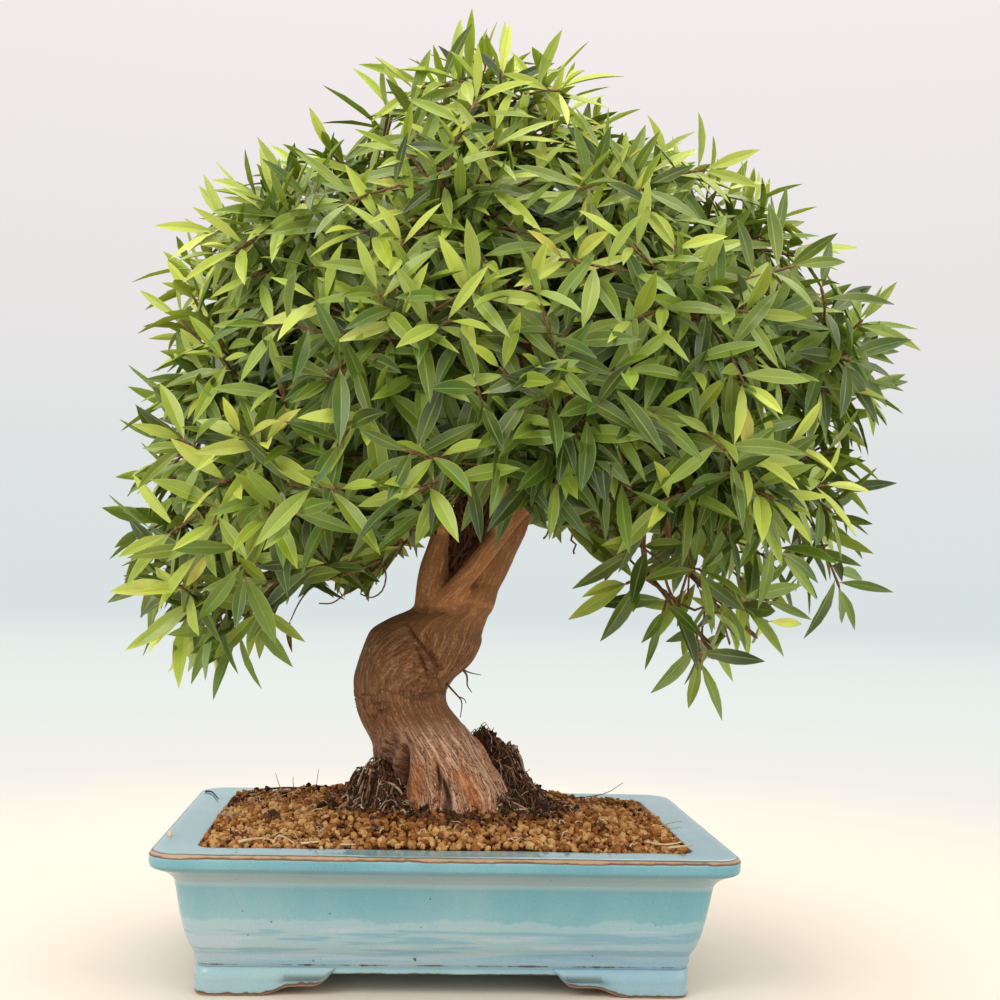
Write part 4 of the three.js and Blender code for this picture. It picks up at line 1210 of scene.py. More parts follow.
# %% Lines and knots on the wood
# Side of the trunk (-1 front, 1 back), height (a groove's is negative), half width, places as (x, z)
WOOD_LINES = [
    # The fold where the trunk turns back, a second one beside it, and the level cracks under the knee
    (-1, -4.6, 1.9, [(-40, 292), (-32, 280), (-23.5, 270), (-12.5, 256), (-9, 247)]),
    (-1, -4.4, 1.6, [(-33, 276), (-28, 267), (-23, 256), (-17.5, 243)]),
    (-1, 2.2, 2.2, [(-28, 277), (-22, 265), (-16, 250)]),
    (-1, -1.8, 1.6, [(-77, 223), (-62, 227), (-50, 224), (-37, 229), (-24, 226), (-5, 229)]),
    (-1, -2.6, 1.5, [(-75, 217), (-60, 218), (-47, 221)]),
    (-1, -2.6, 1.5, [(-73, 212), (-64, 204), (-58, 211), (-50, 215)]),
    # The seams between the limbs
    (-1, -1.6, 1.8, [(-2, 330), (-5, 316), (-12, 302)]),
    # The hollows between the roots, and the roots that have grown together
    (-1, -4.5, 3.0, [(-45, 196), (-44, 176), (-43, 150)]),
    (-1, -7.5, 3.0, [(-32, 192), (-35, 162), (-34, 128)]),
    (-1, -5.0, 1.6, [(-8, 182), (-7, 160), (-7, 128)]),
    (-1, -7.5, 5.5, [(-5, 166), (1, 146), (3, 126)]),
    (-1, 4.5, 2.6, [(-40, 204), (-40, 172), (-40, 154), (-38, 128)]),
    (-1, 6.5, 5.0, [(-27, 202), (-24, 168), (-24, 152), (-25, 128)]),
    (-1, 5.0, 3.6, [(-18, 200), (-14, 168), (-12, 150), (-13, 128)]),
    (-1, 6.5, 8.0, [(-20, 204), (12, 170), (26, 150), (33, 128)]),
    (-1, 4.5, 5.0, [(-43, 208), (-53, 185), (-60, 160)]),
    (-1, 5.0, 5.0, [(1, 219), (23, 199), (39, 174), (51, 140)]),
    # The like on the back
    (1, -5.0, 2.6, [(-30, 282), (-18, 268), (-6, 256), (4, 240)]),
    (1, -3.0, 1.8, [(-72, 232), (-48, 228), (-20, 230)]),
    (1, -2.6, 2.4, [(2, 330), (-2, 308), (0, 286)]),
    (1, -6.0, 4.0, [(-34, 190), (-30, 160), (-26, 130)]),
    (1, -6.0, 4.5, [(6, 186), (16, 158), (22, 130)]),
    (1, 4.5, 5.5, [(-20, 206), (-8, 168), (-2, 130)]),
    (1, 4.0, 5.0, [(-44, 206), (-48, 168), (-50, 130)]),
    (1, 4.5, 6.0, [(0, 212), (30, 172), (42, 130)]),
]
# Knots: side, x, z, radius, height
KNOTS = [(-1, 9, 276, 3.6, 2.0), (-1, -1, 249, 4.4, 2.4), (-1, 19, 300, 3.0, 1.8), (-1, -1, 275, 2.6, 1.4),
         (-1, -54, 262, 6, 0.9), (-1, 30, 296, 4, 1.6), (1, -46, 256, 8, 2.4), (1, 12, 292, 7, 2.6),
         (1, -20, 210, 7, 2.2)]
# Roots whose outer bark has worn off to orange: side, half width, places as (x, z)
ORANGE_ROOTS = [(-1, 6, [(-26, 164), (-26, 148), (-27, 128)]), (-1, 6, [(10, 160), (20, 144), (26, 128)]),
                (1, 9, [(-14, 186), (-6, 160), (-2, 130)]), (1, 8, [(24, 180), (36, 156), (42, 130)])]


def from_line(points, places):
    """How far points are from a smooth line in the front view, and how far along the line the nearest place is."""
    line = smooth_path(places, 50)
    away = np.linalg.norm(points[:, None, [0, 2]] - line[None], axis=2)
    k = np.argmin(away, axis=1)
    return away[np.arange(len(points)), k], k / (len(line) - 1)


def facing(side, normals):
    """How much of the surface looks to the front (-1) or to the back (1): a mark fades out round the wood."""
    return ease(side * normals[:, 1], -0.1, 0.35)


def marks(points, normals):
    """Bell-shaped ridges, grooves with raised lips, and knots that are rings with a sunken eye."""
    total = np.zeros(len(points))
    for side, height, width, places in WOOD_LINES:
        away, along = from_line(points, places)
        swell = bell(away / width)
        if height < 0:
            swell = swell - 0.35 * bell((away - 2.2 * width) / width)
        fade = ease(along, -0.1, 0.45) * (1 - 0.6 * ease(along, 0.85, 1))
        total += height * swell * fade * facing(side, normals)
    for side, x, z, radius, height in KNOTS:
        away = np.linalg.norm(points[:, [0, 2]] - (x, z), axis=1) / radius
        total += height * (bell(away) - 1.5 * bell(away / 0.45)) * facing(side, normals)
    return total


# %% Relief of the bark


def bark_relief(points, normals, flow):
    """The height of the bark: braided flutes low on the trunk, long cords and fibres everywhere, and the marks."""
    z = points[:, 2]
    low = np.where(flow[:, 2] < TRUNK_FLOW, 1 - ease(z, 168, 226), 0)
    warp = flow + 3 * xyz(cloud(flow, 34, 5), cloud(flow, 34, 6), 0)
    flutes = (1 - np.abs(cloud(warp * (1, 1, 0.75), 15, 11))) ** 2 - 0.45
    cords = (1 - np.abs(cloud(warp, 6, 12))) ** 2 - 0.4
    fibres = cloud(flow, 2.2, 13)
    swell = cloud(points, 26, 14)
    girth = np.clip(np.hypot(flow[:, 0], flow[:, 1]) / 30, 0.25, 1)
    wrinkles = np.sin(z * 1.9 + 3 * cloud(points, 9, 3)) * bell((z - 219) / 9) * (points[:, 0] < -20)
    knee = np.where(flow[:, 2] > TIGHT_FLOW, 0.55, 1.0)
    relief = low * (3.2 * flutes + 3.0 * cords)
    relief += girth * (0.7 * knee * cords * (1 - 0.5 * low) + (0.35 + 0.5 * low) * fibres + 1.5 * swell)
    return relief + 0.6 * wrinkles * girth + marks(points, normals)


def softened(values, rounds=10):
    """Values on the wood's points, each taken as the mean of its faces' means, again and again."""
    corners = WOOD_FACES.ravel()
    count = np.bincount(corners, minlength=len(values))
    for _ in range(rounds):
        values = np.bincount(corners, np.repeat(values[WOOD_FACES].mean(axis=1), 4), len(values)) / count
    return values


def joins(flow):
    """1 above the knee where a face's corners lie on different wood, so that its streaks don't fit, and near it."""
    split = np.ptp(flow[WOOD_FACES, 2], axis=1) > 20
    marked = np.zeros(len(flow))
    marked[WOOD_FACES[split].ravel()] = 1
    marked = marked * (WOOD[:, 2] > 296)
    return np.maximum(marked, softened(marked, 3))


RELIEF = bark_relief(WOOD, WOOD_NORMALS, FLOW)
NECK = bell((WOOD[:, 2] - 313) / 22) * (WOOD[:, 0] < 60)
RELIEF = mix(RELIEF, softened(RELIEF), NECK)
print("relief", RELIEF.min().round(1), "to", RELIEF.max().round(1), "mm")

# %% [markdown]
# ## Bark finish
#
# The bark is a warm brown of fine fibres. On the old roots it is paler and streaked with pink, with bright orange
# where the outer bark has worn off. Every groove, and the fork between the limbs, is darkened as painted shade, and
# the neck and limbs are lighter, as younger bark and as painted light. Where the roots, the orange and the grooves
# lie is known from the form, and so is where the streaks of two limbs don't fit. So the points carry all four.

# %% Bark


def bark_finish():
    """Brown, or pale and pink on old roots, by streaks along the flow; orange where worn; painted shade in grooves
    and fork.
    """
    finish = Finish("fibrous_bark")
    flow = finish.carried("flow", "Vector")
    spot = finish.places()
    where = finish.split(spot)
    across, height = where.part("X") * 1000, where.part("Z") * 1000
    strip = finish.noise(flow, 0.34, 3.0, 0.6)
    fine = finish.noise(flow, 1.7, 4.0, 0.7)
    patch = finish.noise(spot, 28.0)
    rough = finish.noise(spot, 520.0, 3.0, 0.65)
    knobbly = (finish.noise(spot, 260.0, 3.0, 0.6) - 0.5) * 0.4 + 0.49
    whole = 1 - finish.carried("join")
    streak = (strip * 0.40 + fine * 0.38 + rough * 0.22) * whole + knobbly * (1 - whole)
    brown = finish.ramp(streak, (0.38, (0.075, 0.026, 0.010)), (0.45, (0.225, 0.092, 0.034)),
                        (0.53, (0.385, 0.178, 0.074)), (0.62, (0.60, 0.335, 0.165)))
    pink = finish.ramp(streak, (0.38, (0.22, 0.074, 0.032)), (0.45, (0.58, 0.265, 0.132)),
                       (0.52, (0.90, 0.52, 0.31)), (0.60, (1.0, 0.81, 0.63)))
    orange = finish.ramp(streak, (0.38, (0.20, 0.045, 0.014)), (0.5, (0.72, 0.24, 0.070)), (0.6, (0.98, 0.55, 0.27)))
    old = finish.step(finish.carried("root") + (patch - 0.5) * 0.5, 0.2, 0.8)
    seam = finish.near(strip, 0.5, 0.004, 0.034) * whole
    nick = finish.near(finish.noise(flow, 0.8, 2.0), 0.5, 0.0, 0.03) * whole
    rust = finish.step(finish.carried("rust") + (streak - 0.5) * 2.2, 0.25, 0.8)
    # Painted shade: darker in the grooves and in the fork between the limbs.
    hollow = finish.step(finish.carried("hollow") + (fine - 0.5) * whole * 0.6, 0.12, 0.85)
    left = 1 - finish.step(across, -88.0, -72.0)
    colour = finish.layers(
        brown,
        (finish.step(patch, 0.48, 0.7) * 0.3, (0.44, 0.225, 0.10)),
        # Lighter bark from 268 mm up: younger on the neck and limbs, and painted light where the crown shades them.
        (finish.step(height, 268.0, 306.0) * 0.42, (0.76, 0.34, 0.13)),
        (old, pink),
        (seam * (old * 0.6 + 0.3), (0.085, 0.030, 0.014)),
        (nick * (old * 0.3 + 0.25), (0.10, 0.036, 0.016)),
        # Painted shade in the grooves and the fork.
        (rust * (1 - seam * 0.5) * 0.9, orange),
        (hollow * 0.85, (0.060, 0.024, 0.011)),
        (left * old * 0.5, (0.16, 0.065, 0.032)),
    )
    normal = finish.bump(streak - seam * 0.12 * old, 1.0, 0.0045)
    return finish.set(Base_Color=colour, Roughness=0.82, Normal=normal, Specular_IOR_Level=0.3)


BARK = bark_finish()

# %% Finishes of grains, fine roots, peat and moss


def grain_finish(name, low, middle, high):
    """A matt finish for many small things: each carries its tone, which picks its colour, and has fine specks."""
    finish = Finish(name)
    speck = finish.noise(finish.places(), 300.0, 3.0, 0.6)
    colour = finish.ramp(finish.carried("tone") * 0.78 + speck * 0.3, (0.08, low), (0.5, middle), (0.95, high))
    return finish.set(Base_Color=colour, Roughness=0.92, Normal=finish.bump(speck, 0.5, 0.0012),
                      Specular_IOR_Level=0.2)


GRAIN = grain_finish("clay_grain", (0.085, 0.024, 0.005), (0.37, 0.150, 0.036), (0.70, 0.43, 0.17))
SCRAP = grain_finish("bark_scrap", (0.02, 0.009, 0.005), (0.09, 0.04, 0.02), (0.22, 0.10, 0.05))
FIBRE = grain_finish("fine_root", (0.035, 0.014, 0.007), (0.21, 0.10, 0.045), (0.80, 0.62, 0.40))
PEAT = grain_finish("peat", (0.008, 0.004, 0.002), (0.036, 0.016, 0.009), (0.12, 0.052, 0.026))
MOSS = grain_finish("moss", (0.030, 0.038, 0.008), (0.10, 0.115, 0.022), (0.26, 0.27, 0.06))

# %% [markdown]
# ## Branches
#
# A branch leaves the limb that is nearest to its spray, at first along the limb, and bends round to meet the spray
# along the spray's axis. That is a cubic curve with a pull at each end.

# %% Branches
# Single bars: first radius, last radius, tone, places. Roots that hang from the notch above the foot
HANGING_ROOTS = [
    (1.2, 0.4, 0.3, [(-4, -14, 238), (1, -26, 233), (8, -28, 226), (12, -27, 220), (11, -26, 207)]),
    (0.7, 0.25, 0.3, [(9, -28, 225), (14, -27, 223), (16, -26, 219)]),
    (1.2, 0.4, 0.3, [(10, -14, 250), (16, -16, 243), (17, -15, 234), (21, -15, 228)]),
    (0.9, 0.3, 0.3, [(12, -15, 248), (19, -14, 245), (29, -12, 243)]),
]
# Dry twigs that hang under the crown on the left
BARE_TWIGS = [
    (0.6, 1.0, 0, [(-112, -60, 303), (-100, -60, 304), (-88, -60, 315), (-80, -60, 327), (-84, -58, 356)]),
    (1.0, 0.6, 0, [(-84, -58, 356), (-66, -62, 346), (-57, -64, 331), (-59, -64, 316), (-68, -62, 309),
                   (-78, -60, 312)]),
    (0.6, 0.3, 0, [(-93, -60, 310), (-97, -61, 318), (-95, -62, 325)]),
    (0.9, 0.5, 0, [(-118, -58, 318), (-128, -60, 304), (-135, -60, 288)]),
]
# A dead leaf at the end of a twig: foot, way, face, length, width, droop, fold, sickle
DEAD_LEAF = ((-135, -60, 289), (-0.25, 0.0, -1.0), (0.1, -1.0, 0.0), 25, 4.5, 0.1, 0.9, -0.35)


def branch_paths():
    """Cubic curves from limbs to sprays, the limb's place chosen by distance plus a fee for leaving it early."""
    number = np.arange(len(BASES))
    shares = np.array([0.58, 0.68, 0.78, 0.88])[None] + 0.1 * chance(number + 0.5)[:, None]
    starts, ways = [], []
    for line in LINES:
        share = length_along(line) / length_along(line)[-1]
        for rows, found in ((starts, line), (ways, unit(np.gradient(line, axis=0)))):
            rows.append(xyz(*(np.interp(shares, share, found[:, k]) for k in range(3))))
    starts, ways = (np.stack(rows, 1).reshape(len(BASES), -1, 3) for rows in (starts, ways))
    away = np.linalg.norm(starts - BASES[:, None], axis=2) + 60 * (1 - np.tile(shares, (1, len(LINES))))
    best = np.argmin(away, axis=1)
    start, way = starts[number, best], ways[number, best]
    pull = 0.35 * np.linalg.norm(start - BASES, axis=1)[:, None]
    paths = bezier(np.stack([start, start + way * pull, BASES - AXES * pull, BASES + AXES * 2], 1), 12)
    arch = 34 * ease(390 - BASES[:, 2], 0, 60)[:, None] * np.sin(np.linspace(0, np.pi, 12))
    return paths + arch[..., None] * (0, 0, 1)


def fork_roots(count=80):
    """Fine roots in the fork: cubic curves between drawn places in the wedge between the limbs."""
    seed = 61000.0 + np.arange(count)
    draw = chance(seed[:, None, None] * 1.7 + np.arange(4)[:, None] * 3.1 + np.arange(3) * 5.3)
    share = draw[..., 2]
    return bezier(xyz(mix(-3, mix(4, 44, share), draw[..., 0]), mix(-14, 12, draw[..., 1]), 322 + 84 * share), 9)


def wood_numbers():
    """What the wood carries: old root low down, rust by noise and named roots, painted shade in grooves and fork,
    joins.
    """
    x, y, z = WOOD.T
    root = (1 - ease(z, 168, 222)) * (FLOW[:, 2] < TRUNK_FLOW)
    rust = 0.15 + 0.2 * cloud(FLOW, 14, 21) + 0.15 * ((FLOW[:, 2] > TRUNK_FLOW) & (FLOW[:, 2] < TIGHT_FLOW))
    for side, width, places in ORANGE_ROOTS:
        away, _ = from_line(WOOD, places)
        rust = rust + 0.75 * bell(away / width) * facing(side, WOOD_NORMALS)
    # Painted shade in the fork between the limbs, and in the grooves of the relief.
    fork = bell((z - 372) / 44, (x - 16) / 19) * (1 - ease(-y, 8, 18))
    hollow = np.maximum(np.clip(-RELIEF / 6, 0, 1), 0.9 * fork)
    return {"root": root, "rust": rust, "hollow": hollow, "join": joins(FLOW)}


def build_trunk():
    """The wood moved out by its relief, branches to the sprays, and what is fine: roots, twigs and a dry leaf."""
    shape = Shape().add(WOOD + WOOD_NORMALS * RELIEF[:, None], [WOOD_FACES], **wood_numbers())
    paths, sides = branch_paths(), 9
    crook = np.stack([cloud(paths, 24, seed) for seed in (1, 2, 3)], -1)
    ends = np.sin(np.linspace(0, np.pi, paths.shape[1]))[None, :, None]
    radii = np.linspace(4.7, 2.1, paths.shape[1])[None] * (1 + 0.12 * crook[..., 0])
    bars, faces = tubes(paths + 3 * crook * ends, radii, sides)
    shape.add(bars, faces, rust=0.4)
    fine = fork_roots()
    girth = 0.5 + 0.9 * chance(np.arange(len(fine)) + 0.2)
    add_bars(shape, fine, np.repeat(girth[:, None], fine.shape[1], 1), 4, 1, 0.25)
    strands(shape, HANGING_ROOTS, 1)
    strands(shape, BARE_TWIGS, 2)
    shape.add(*repeat(leaf_points(*(np.array([row]) for row in DEAD_LEAF)), leaf_patterns()), 2, tone=0.6)
    mesh = shape.mesh("trunk_wood")
    turn = np.arange(len(bars)) % sides / sides * 2 * np.pi
    flow = np.concatenate([FLOW, xyz(4 * np.cos(turn), 4 * np.sin(turn), bars @ SKEW * SQUEEZE)])
    flow = np.pad(flow, ((0, shape.count - len(flow)), (0, 0)))
    mesh.attributes.new("flow", "FLOAT_VECTOR", "POINT").data.foreach_set("vector", flow.ravel())
    print("trunk faces", len(mesh.polygons))
    place("trunk_wood", mesh, [BARK, FIBRE, TWIG], "bark", "trunk")


build_trunk()

# %% [markdown]
# ## Soil
#
# The pot is filled with fired clay grains, golden and angular, 4 to 7 mm across. Each grain is a ball of twenty
# faces, pulled out of shape, so four thousand of them stay light. They lie on an even grid, shaken by chance, over
# a bed that follows the soil's height. Pale fine roots and scraps of bark lie among them.

# %% Soil height and grains
# The soil's height at the lip, how far the bed lies below it, and the ellipse of the root mat
SOIL_LEVEL, BED_DROP = 109.2, 1.5
MAT_CENTRE, MAT_HALF = np.array([4.0, 12.0]), np.array([104.0, 70.0])


def soil_rise(x, y):
    """The mound round the trunk: 22 mm high, falling off as a bell across the pot."""
    return 22 * bell(x / 150, y / 95)


def soil_height(x, y):
    """The bed: level at the lip, its mound, a heap at the back on either side, and soft bumps."""
    heaps = 10 * bell((x + 105) / 70, (y - 116) / 24) + 7 * bell((x - 85) / 55, (y - 114) / 24)
    return SOIL_LEVEL + soil_rise(x, y) + heaps + 2.2 * cloud(xyz(x, y, 0), 17, 4)


def mat_share(x, y):
    """How far out a place is on the mat's ellipse: 0 in its middle, 1 on its edge."""
    return np.hypot((x - MAT_CENTRE[0]) / MAT_HALF[0], (y - MAT_CENTRE[1]) / MAT_HALF[1])


def peat_share(x, y):
    """How much peat lies among the grains: most in front of the trunk and round the mat."""
    return np.clip(1.1 * bell((x - 2) / 78, (y + 45) / 34) + 1 - ease(mat_share(x, y), 0.92, 1.3), 0, 1)


# %% Loose bits on the soil
# Strips of pale dead root: first radius, last radius, tone, places
PALE_STRIPS = [
    (1.3, 0.6, 1.0, [(-165, -120, 116), (-155, -112, 117), (-147, -104, 116), (-137, -106, 115)]),
    (1.1, 0.5, 0.95, [(-138, -116, 115), (-136, -100, 117), (-130, -103, 117), (-121, -122, 116)]),
    (1.2, 0.5, 1.0, [(-116, -122, 116), (-104, -120, 117), (-96, -112, 116)]),
    (1.1, 0.6, 0.95, [(-85, -124, 116), (-73, -122, 116)]),
    (1.1, 0.5, 1.0, [(163, -94, 116), (172, -104, 116), (182, -103, 116), (192, -98, 117)]),
    (1.3, 0.6, 0.9, [(176, -120, 116), (190, -116, 117), (199, -110, 117)]),
    (0.7, 0.3, 0.75, [(186, -29, 117), (203, -8, 117), (212, -3, 117)]),
    (1.0, 0.5, 0.9, [(-64, -108, 116), (-52, -114, 118), (-45, -106, 116)]),
    (1.2, 0.6, 1.0, [(-180, -70, 116), (-172, -78, 117), (-160, -74, 116)]),
    (1.0, 0.5, 0.9, [(60, -104, 116), (74, -98, 118), (80, -108, 116)]),
]
# Dry sticks: first radius, last radius, tone, places
STICKS = [
    (1.3, 0.8, 0.3, [(-190, 40, 117), (-182, 90, 118), (-172, 112, 120), (-150, 118, 122), (-128, 119, 122)]),
    (0.9, 0.5, 0.2, [(-148, 92, 121), (-135, 112, 121), (-118, 118, 124), (-101, 117, 124)]),
    (0.35, 0.2, 0.2, [(-118, 118, 122), (-117, 118, 132), (-116, 118, 141)]),
    (0.35, 0.2, 0.2, [(-152, 118, 122), (-155, 118, 130), (-157, 118, 136)]),
    (0.35, 0.2, 0.2, [(-139, 117, 122), (-140, 117, 128), (-140, 117, 133)]),
    (0.9, 0.5, 0.3, [(-224, 128, 116), (-217, 124, 116), (-206, 84, 116)]),
    (1.4, 0.8, 0.3, [(-96, -60, 120), (-84, -74, 121), (-70, -80, 121)]),
    (1.1, 0.5, 0.3, [(1, -54, 124), (18, -74, 122), (33, -96, 119)]),
]
# Dark pebbles and clods: x, y, z, radius, tone
PEBBLES = [
    (-174, 112, 121, 3.2, 0.2), (-164, 113, 122, 3.0, 0.1), (-125, 114, 125, 3.4, 0.1), (-116, 112, 124, 3.2, 0.2),
    (-109, 114, 124, 3.0, 0.0), (-98, 113, 125, 3.2, 0.3), (-151, -36, 120, 5.5, 0.6), (-146, -28, 121, 6.0, 0.3),
    (-142, -38, 119, 5.0, 0.5), (-154, -26, 119, 4.2, 0.4),
]
# A pale chip on the rim: x, y, z, radius, tone
RIM_CHIP = [(-222, -93, 116.2, 3.0, 1.0)]


# %% Build the soil


def wander(start, heading, length, bends, height, lift, seed, steps=7):
    """Threads that creep over a surface: the heading turns a little at each step, and the thread lifts midway."""
    k = np.arange(steps)
    turn = heading[:, None] + bends[:, None] * np.cumsum(chance(seed[:, None] * 5.1 + k * 2.3) - 0.5, axis=1)
    stride = length[:, None] / (steps - 1)
    x = start[:, :1] + np.cumsum(np.cos(turn) * stride, axis=1)
    y = start[:, 1:2] + np.cumsum(np.sin(turn) * stride, axis=1)
    arch = np.sin(k / (steps - 1) * np.pi * (1 + chance(seed)[:, None])) * lift[:, None]
    return np.stack([x, y, height(x, y) + np.abs(arch) + 0.3], -1)


def add_bed(shape):
    """The bed: the pot's inner edge drawn in ring by ring, each a little below the soil's height, dark as painted
    shade.
    """
    edge = pot_ring(36.0, 0.0, 6, 16)[0, :, :2]
    x, y = np.linspace(1, 0.04, 24)[:, None] * edge.T[:, None]
    top = xyz(x, y, soil_height(x, y) - BED_DROP)
    ends = [(0, 0, 100), (0, 0, soil_height(0.0, 0.0) - BED_DROP)]
    # Tone 0, the darkest grain colour, is painted shade in the gaps between the grains.
    shape.add(*closed(np.concatenate([xyz(*edge.T, 100.0)[None], top]), ends), tone=0.0)


def add_grains(shape):
    """Clay grains on an even grid, shaken by chance, up to the mat and the pot; damp ones are darker."""
    x, y = (rows.ravel() for rows in np.meshgrid(np.arange(-194, 195, 4.5), np.arange(-129, 130, 4.3)))
    seed = np.arange(len(x)) + 20000.0
    x, y = x + 4.4 * (chance(seed) - 0.5), y + 4.4 * (chance(seed + 0.4) - 0.5)
    kept = (np.abs(x) < 193) & (np.abs(y) < 128) & (mat_share(x, y) > 0.9 - 0.16 * chance(seed + 0.9))
    kept &= np.hypot(np.maximum(np.abs(x) - 183, 0), np.maximum(np.abs(y) - 118, 0)) < 9.5
    x, y, seed = x[kept], y[kept], seed[kept]
    centres = xyz(x, y, soil_height(x, y) + 0.2 + 3.6 * chance(seed + 0.7))
    damp = peat_share(x, y) + 0.3 * ease(y, -60, 120) - 0.3 * cloud(centres, 45, 6)
    tone = np.clip(0.60 - 0.42 * damp + 0.85 * (chance(seed + 0.8) - 0.5), 0, 1)
    add_lumps(shape, centres, 1.75 + 2.5 * chance(seed + 0.6) ** 2.4, seed, (1.15, 1.0, 0.8), 0, tone)
    print("grains", len(x))


def add_scraps(shape):
    """Flat dark scraps of bark between the grains, then the pebbles and the chip on the rim, each at its place."""
    seed = np.arange(260) + 31000.0
    x, y = 376 * (chance(seed) - 0.5), 244 * (chance(seed + 0.3) - 0.5)
    radii = 1.2 + 2.0 * chance(seed + 0.5) ** 2
    add_lumps(shape, xyz(x, y, soil_height(x, y) + 3.4), radii, seed, (2.2, 0.9, 0.45), 1, chance(seed + 0.1))
    x, y, z, radius, tone = np.array(PEBBLES).T
    add_lumps(shape, xyz(x, y, z), radius, x + 900.0, (1, 1, 0.8), 1, tone)
    x, y, z, radius, tone = np.array(RIM_CHIP).T
    add_lumps(shape, xyz(x, y, z), radius, [907.0], (1.6, 1.0, 0.6), 2, tone, smooth=True)


def add_threads(shape):
    """Pale fine roots that creep over the grains, most of them on the left."""
    seed = np.arange(120) + 32000.0
    start = np.stack([mix(-184, 150, chance(seed) ** 1.4), 226 * (chance(seed + 0.3) - 0.5)], -1)
    paths = wander(start, 6.3 * chance(seed + 0.5), 8 + 18 * chance(seed + 0.6), np.full(len(seed), 3.4),
                   lambda x, y: soil_height(x, y) + 3.0, 1 + 3 * chance(seed + 0.7), seed)
    paths[..., :2] = np.clip(paths[..., :2], (-191, -126), (191, 126))
    girth = mix(0.35, 0.8, chance(seed + 0.2))[:, None] * np.linspace(1, 0.3, paths.shape[1])
    add_bars(shape, paths, girth, 4, 2, 0.7 + 0.5 * chance(seed))


def build_soil():
    """One piece: the bed and all that lies loose on it."""
    shape = Shape()
    for add in (add_bed, add_grains, add_scraps, add_threads):
        add(shape)
    strands(shape, PALE_STRIPS, 2)
    strands(shape, STICKS, 1)
    place("soil_grains", shape.mesh("soil_grains"), [GRAIN, SCRAP, FIBRE], "grain", "soil")


build_soil()

# %% [markdown]
# ## The root mat
#
# Round the foot of the trunk the old root ball stands out of the soil: a dark mound of peat with three heaps,
# threaded with hundreds of fine roots and tufted with moss. The mound is a height over an ellipse. The fine roots
# creep over it, turning by chance, and lift off it here and there.

# %% Build the root mat
# Roots that reach out of the mat: first radius, last radius, tone, places
LONG_ROOTS = [
    (0.9, 0.25, 0.2, [(64, 40, 128), (88, 48, 136), (106, 50, 129), (128, 52, 128), (152, 54, 132), (168, 54, 142)]),
    (0.7, 0.25, 0.2, [(88, 36, 124), (109, 40, 127), (129, 42, 125), (150, 44, 127)]),
    (0.7, 0.2, 0.1, [(150, 44, 130), (160, 44, 126), (163, 44, 119)]),
    (0.8, 0.3, 0.3, [(52, 30, 150), (63, 26, 158), (70, 24, 152), (78, 24, 157)]),
    (1.1, 0.5, 0.9, [(46, -4, 128), (56, -8, 137), (66, -10, 132), (64, -12, 124)]),
    (1.0, 0.4, 0.8, [(30, -22, 128), (44, -34, 130), (52, -48, 126), (64, -56, 120)]),
    (0.9, 0.3, 0.7, [(-72, -10, 132), (-86, -24, 132), (-92, -38, 126)]),
    (0.8, 0.3, 0.3, [(-84, 14, 136), (-98, 6, 138), (-104, -4, 130), (-96, -12, 126)]),
]
# Heaps of the mat: height, middle in x and y, half width, half depth
HEAPS = np.array([(46, 38, 30, 40, 32), (24, -58, 18, 24, 28), (26, -57, -26, 21, 22)])
# The mat's height at its edge, and how far down into the soil it goes
MAT_LEVEL, MAT_FOOT = 110.5, 84.0


def mat_height(x, y):
    """Bell-shaped heaps round the trunk on the soil's mound, broken up by noise in two sizes."""
    place = xyz(x, y, 0)
    hills = 5 + sum(high * bell((x - cx) / wide, (y - cy) / deep) for high, cx, cy, wide, deep in HEAPS)
    rough = (5 * cloud(place, 13, 8) + 2.4 * cloud(place, 5, 9)) * (1 + hills / 40)
    inside = 1 - ease(mat_share(x, y), 0.82, 1.0)
    return MAT_LEVEL + soil_rise(x, y) + hills * inside + rough * (0.25 + 0.75 * inside)


def mat_spots(seed, reach=1.0):
    """Chance places on the mat's ellipse, even by area; two in five are drawn to the slope of a heap instead."""
    turn, out = 6.283 * chance(seed), reach * np.sqrt(chance(seed + 0.2))
    ring = np.stack([np.cos(turn), np.sin(turn)], -1) * out[:, None]
    heap = HEAPS[np.floor(len(HEAPS) * chance(seed + 0.26)).astype(int)]
    near = heap[:, 1:3] + heap[:, 3:] * ring * 1.1
    return np.where((chance(seed + 0.22) < 0.4)[:, None], near, MAT_CENTRE + MAT_HALF * ring), turn


def add_mound(shape):
    """The mound: its ellipse drawn in ring by ring, each at the mat's height."""
    angle = np.arange(150) / 150 * 2 * np.pi
    ring = np.stack([MAT_HALF[0] * np.cos(angle), MAT_HALF[1] * np.sin(angle)], -1)
    flat = MAT_CENTRE + np.linspace(1.0, 0.06, 46)[:, None, None] * ring
    x, y = flat[..., 0], flat[..., 1]
    rings = np.concatenate([xyz(x[:1], y[:1], MAT_FOOT), xyz(x, y, mat_height(x, y))])
    ends = [(*MAT_CENTRE, MAT_FOOT), (*MAT_CENTRE, mat_height(*MAT_CENTRE))]
    tone = 0.40 + 0.45 * cloud(rings.reshape(-1, 3), 6, 2)
    shape.add(*closed(rings, ends), tone=np.append(tone, [0.4, 0.4]))


def add_crumbs(shape):
    """Crumbs of peat, most of them small, a little beyond the mound's edge too."""
    seed = np.arange(2400) + 42000.0
    spot, _ = mat_spots(seed, 1.12)
    height = mat_height(*spot.T) + 1.2 * chance(seed + 0.4) + 2 * (mat_share(*spot.T) > 0.95)
    radii, tone = 0.9 + 2.6 * chance(seed + 0.5) ** 3, 0.3 + 0.9 * chance(seed + 0.6) ** 2
    add_lumps(shape, np.column_stack([spot, height]), radii, seed, (1.5, 1.0, 0.7), 0, tone)


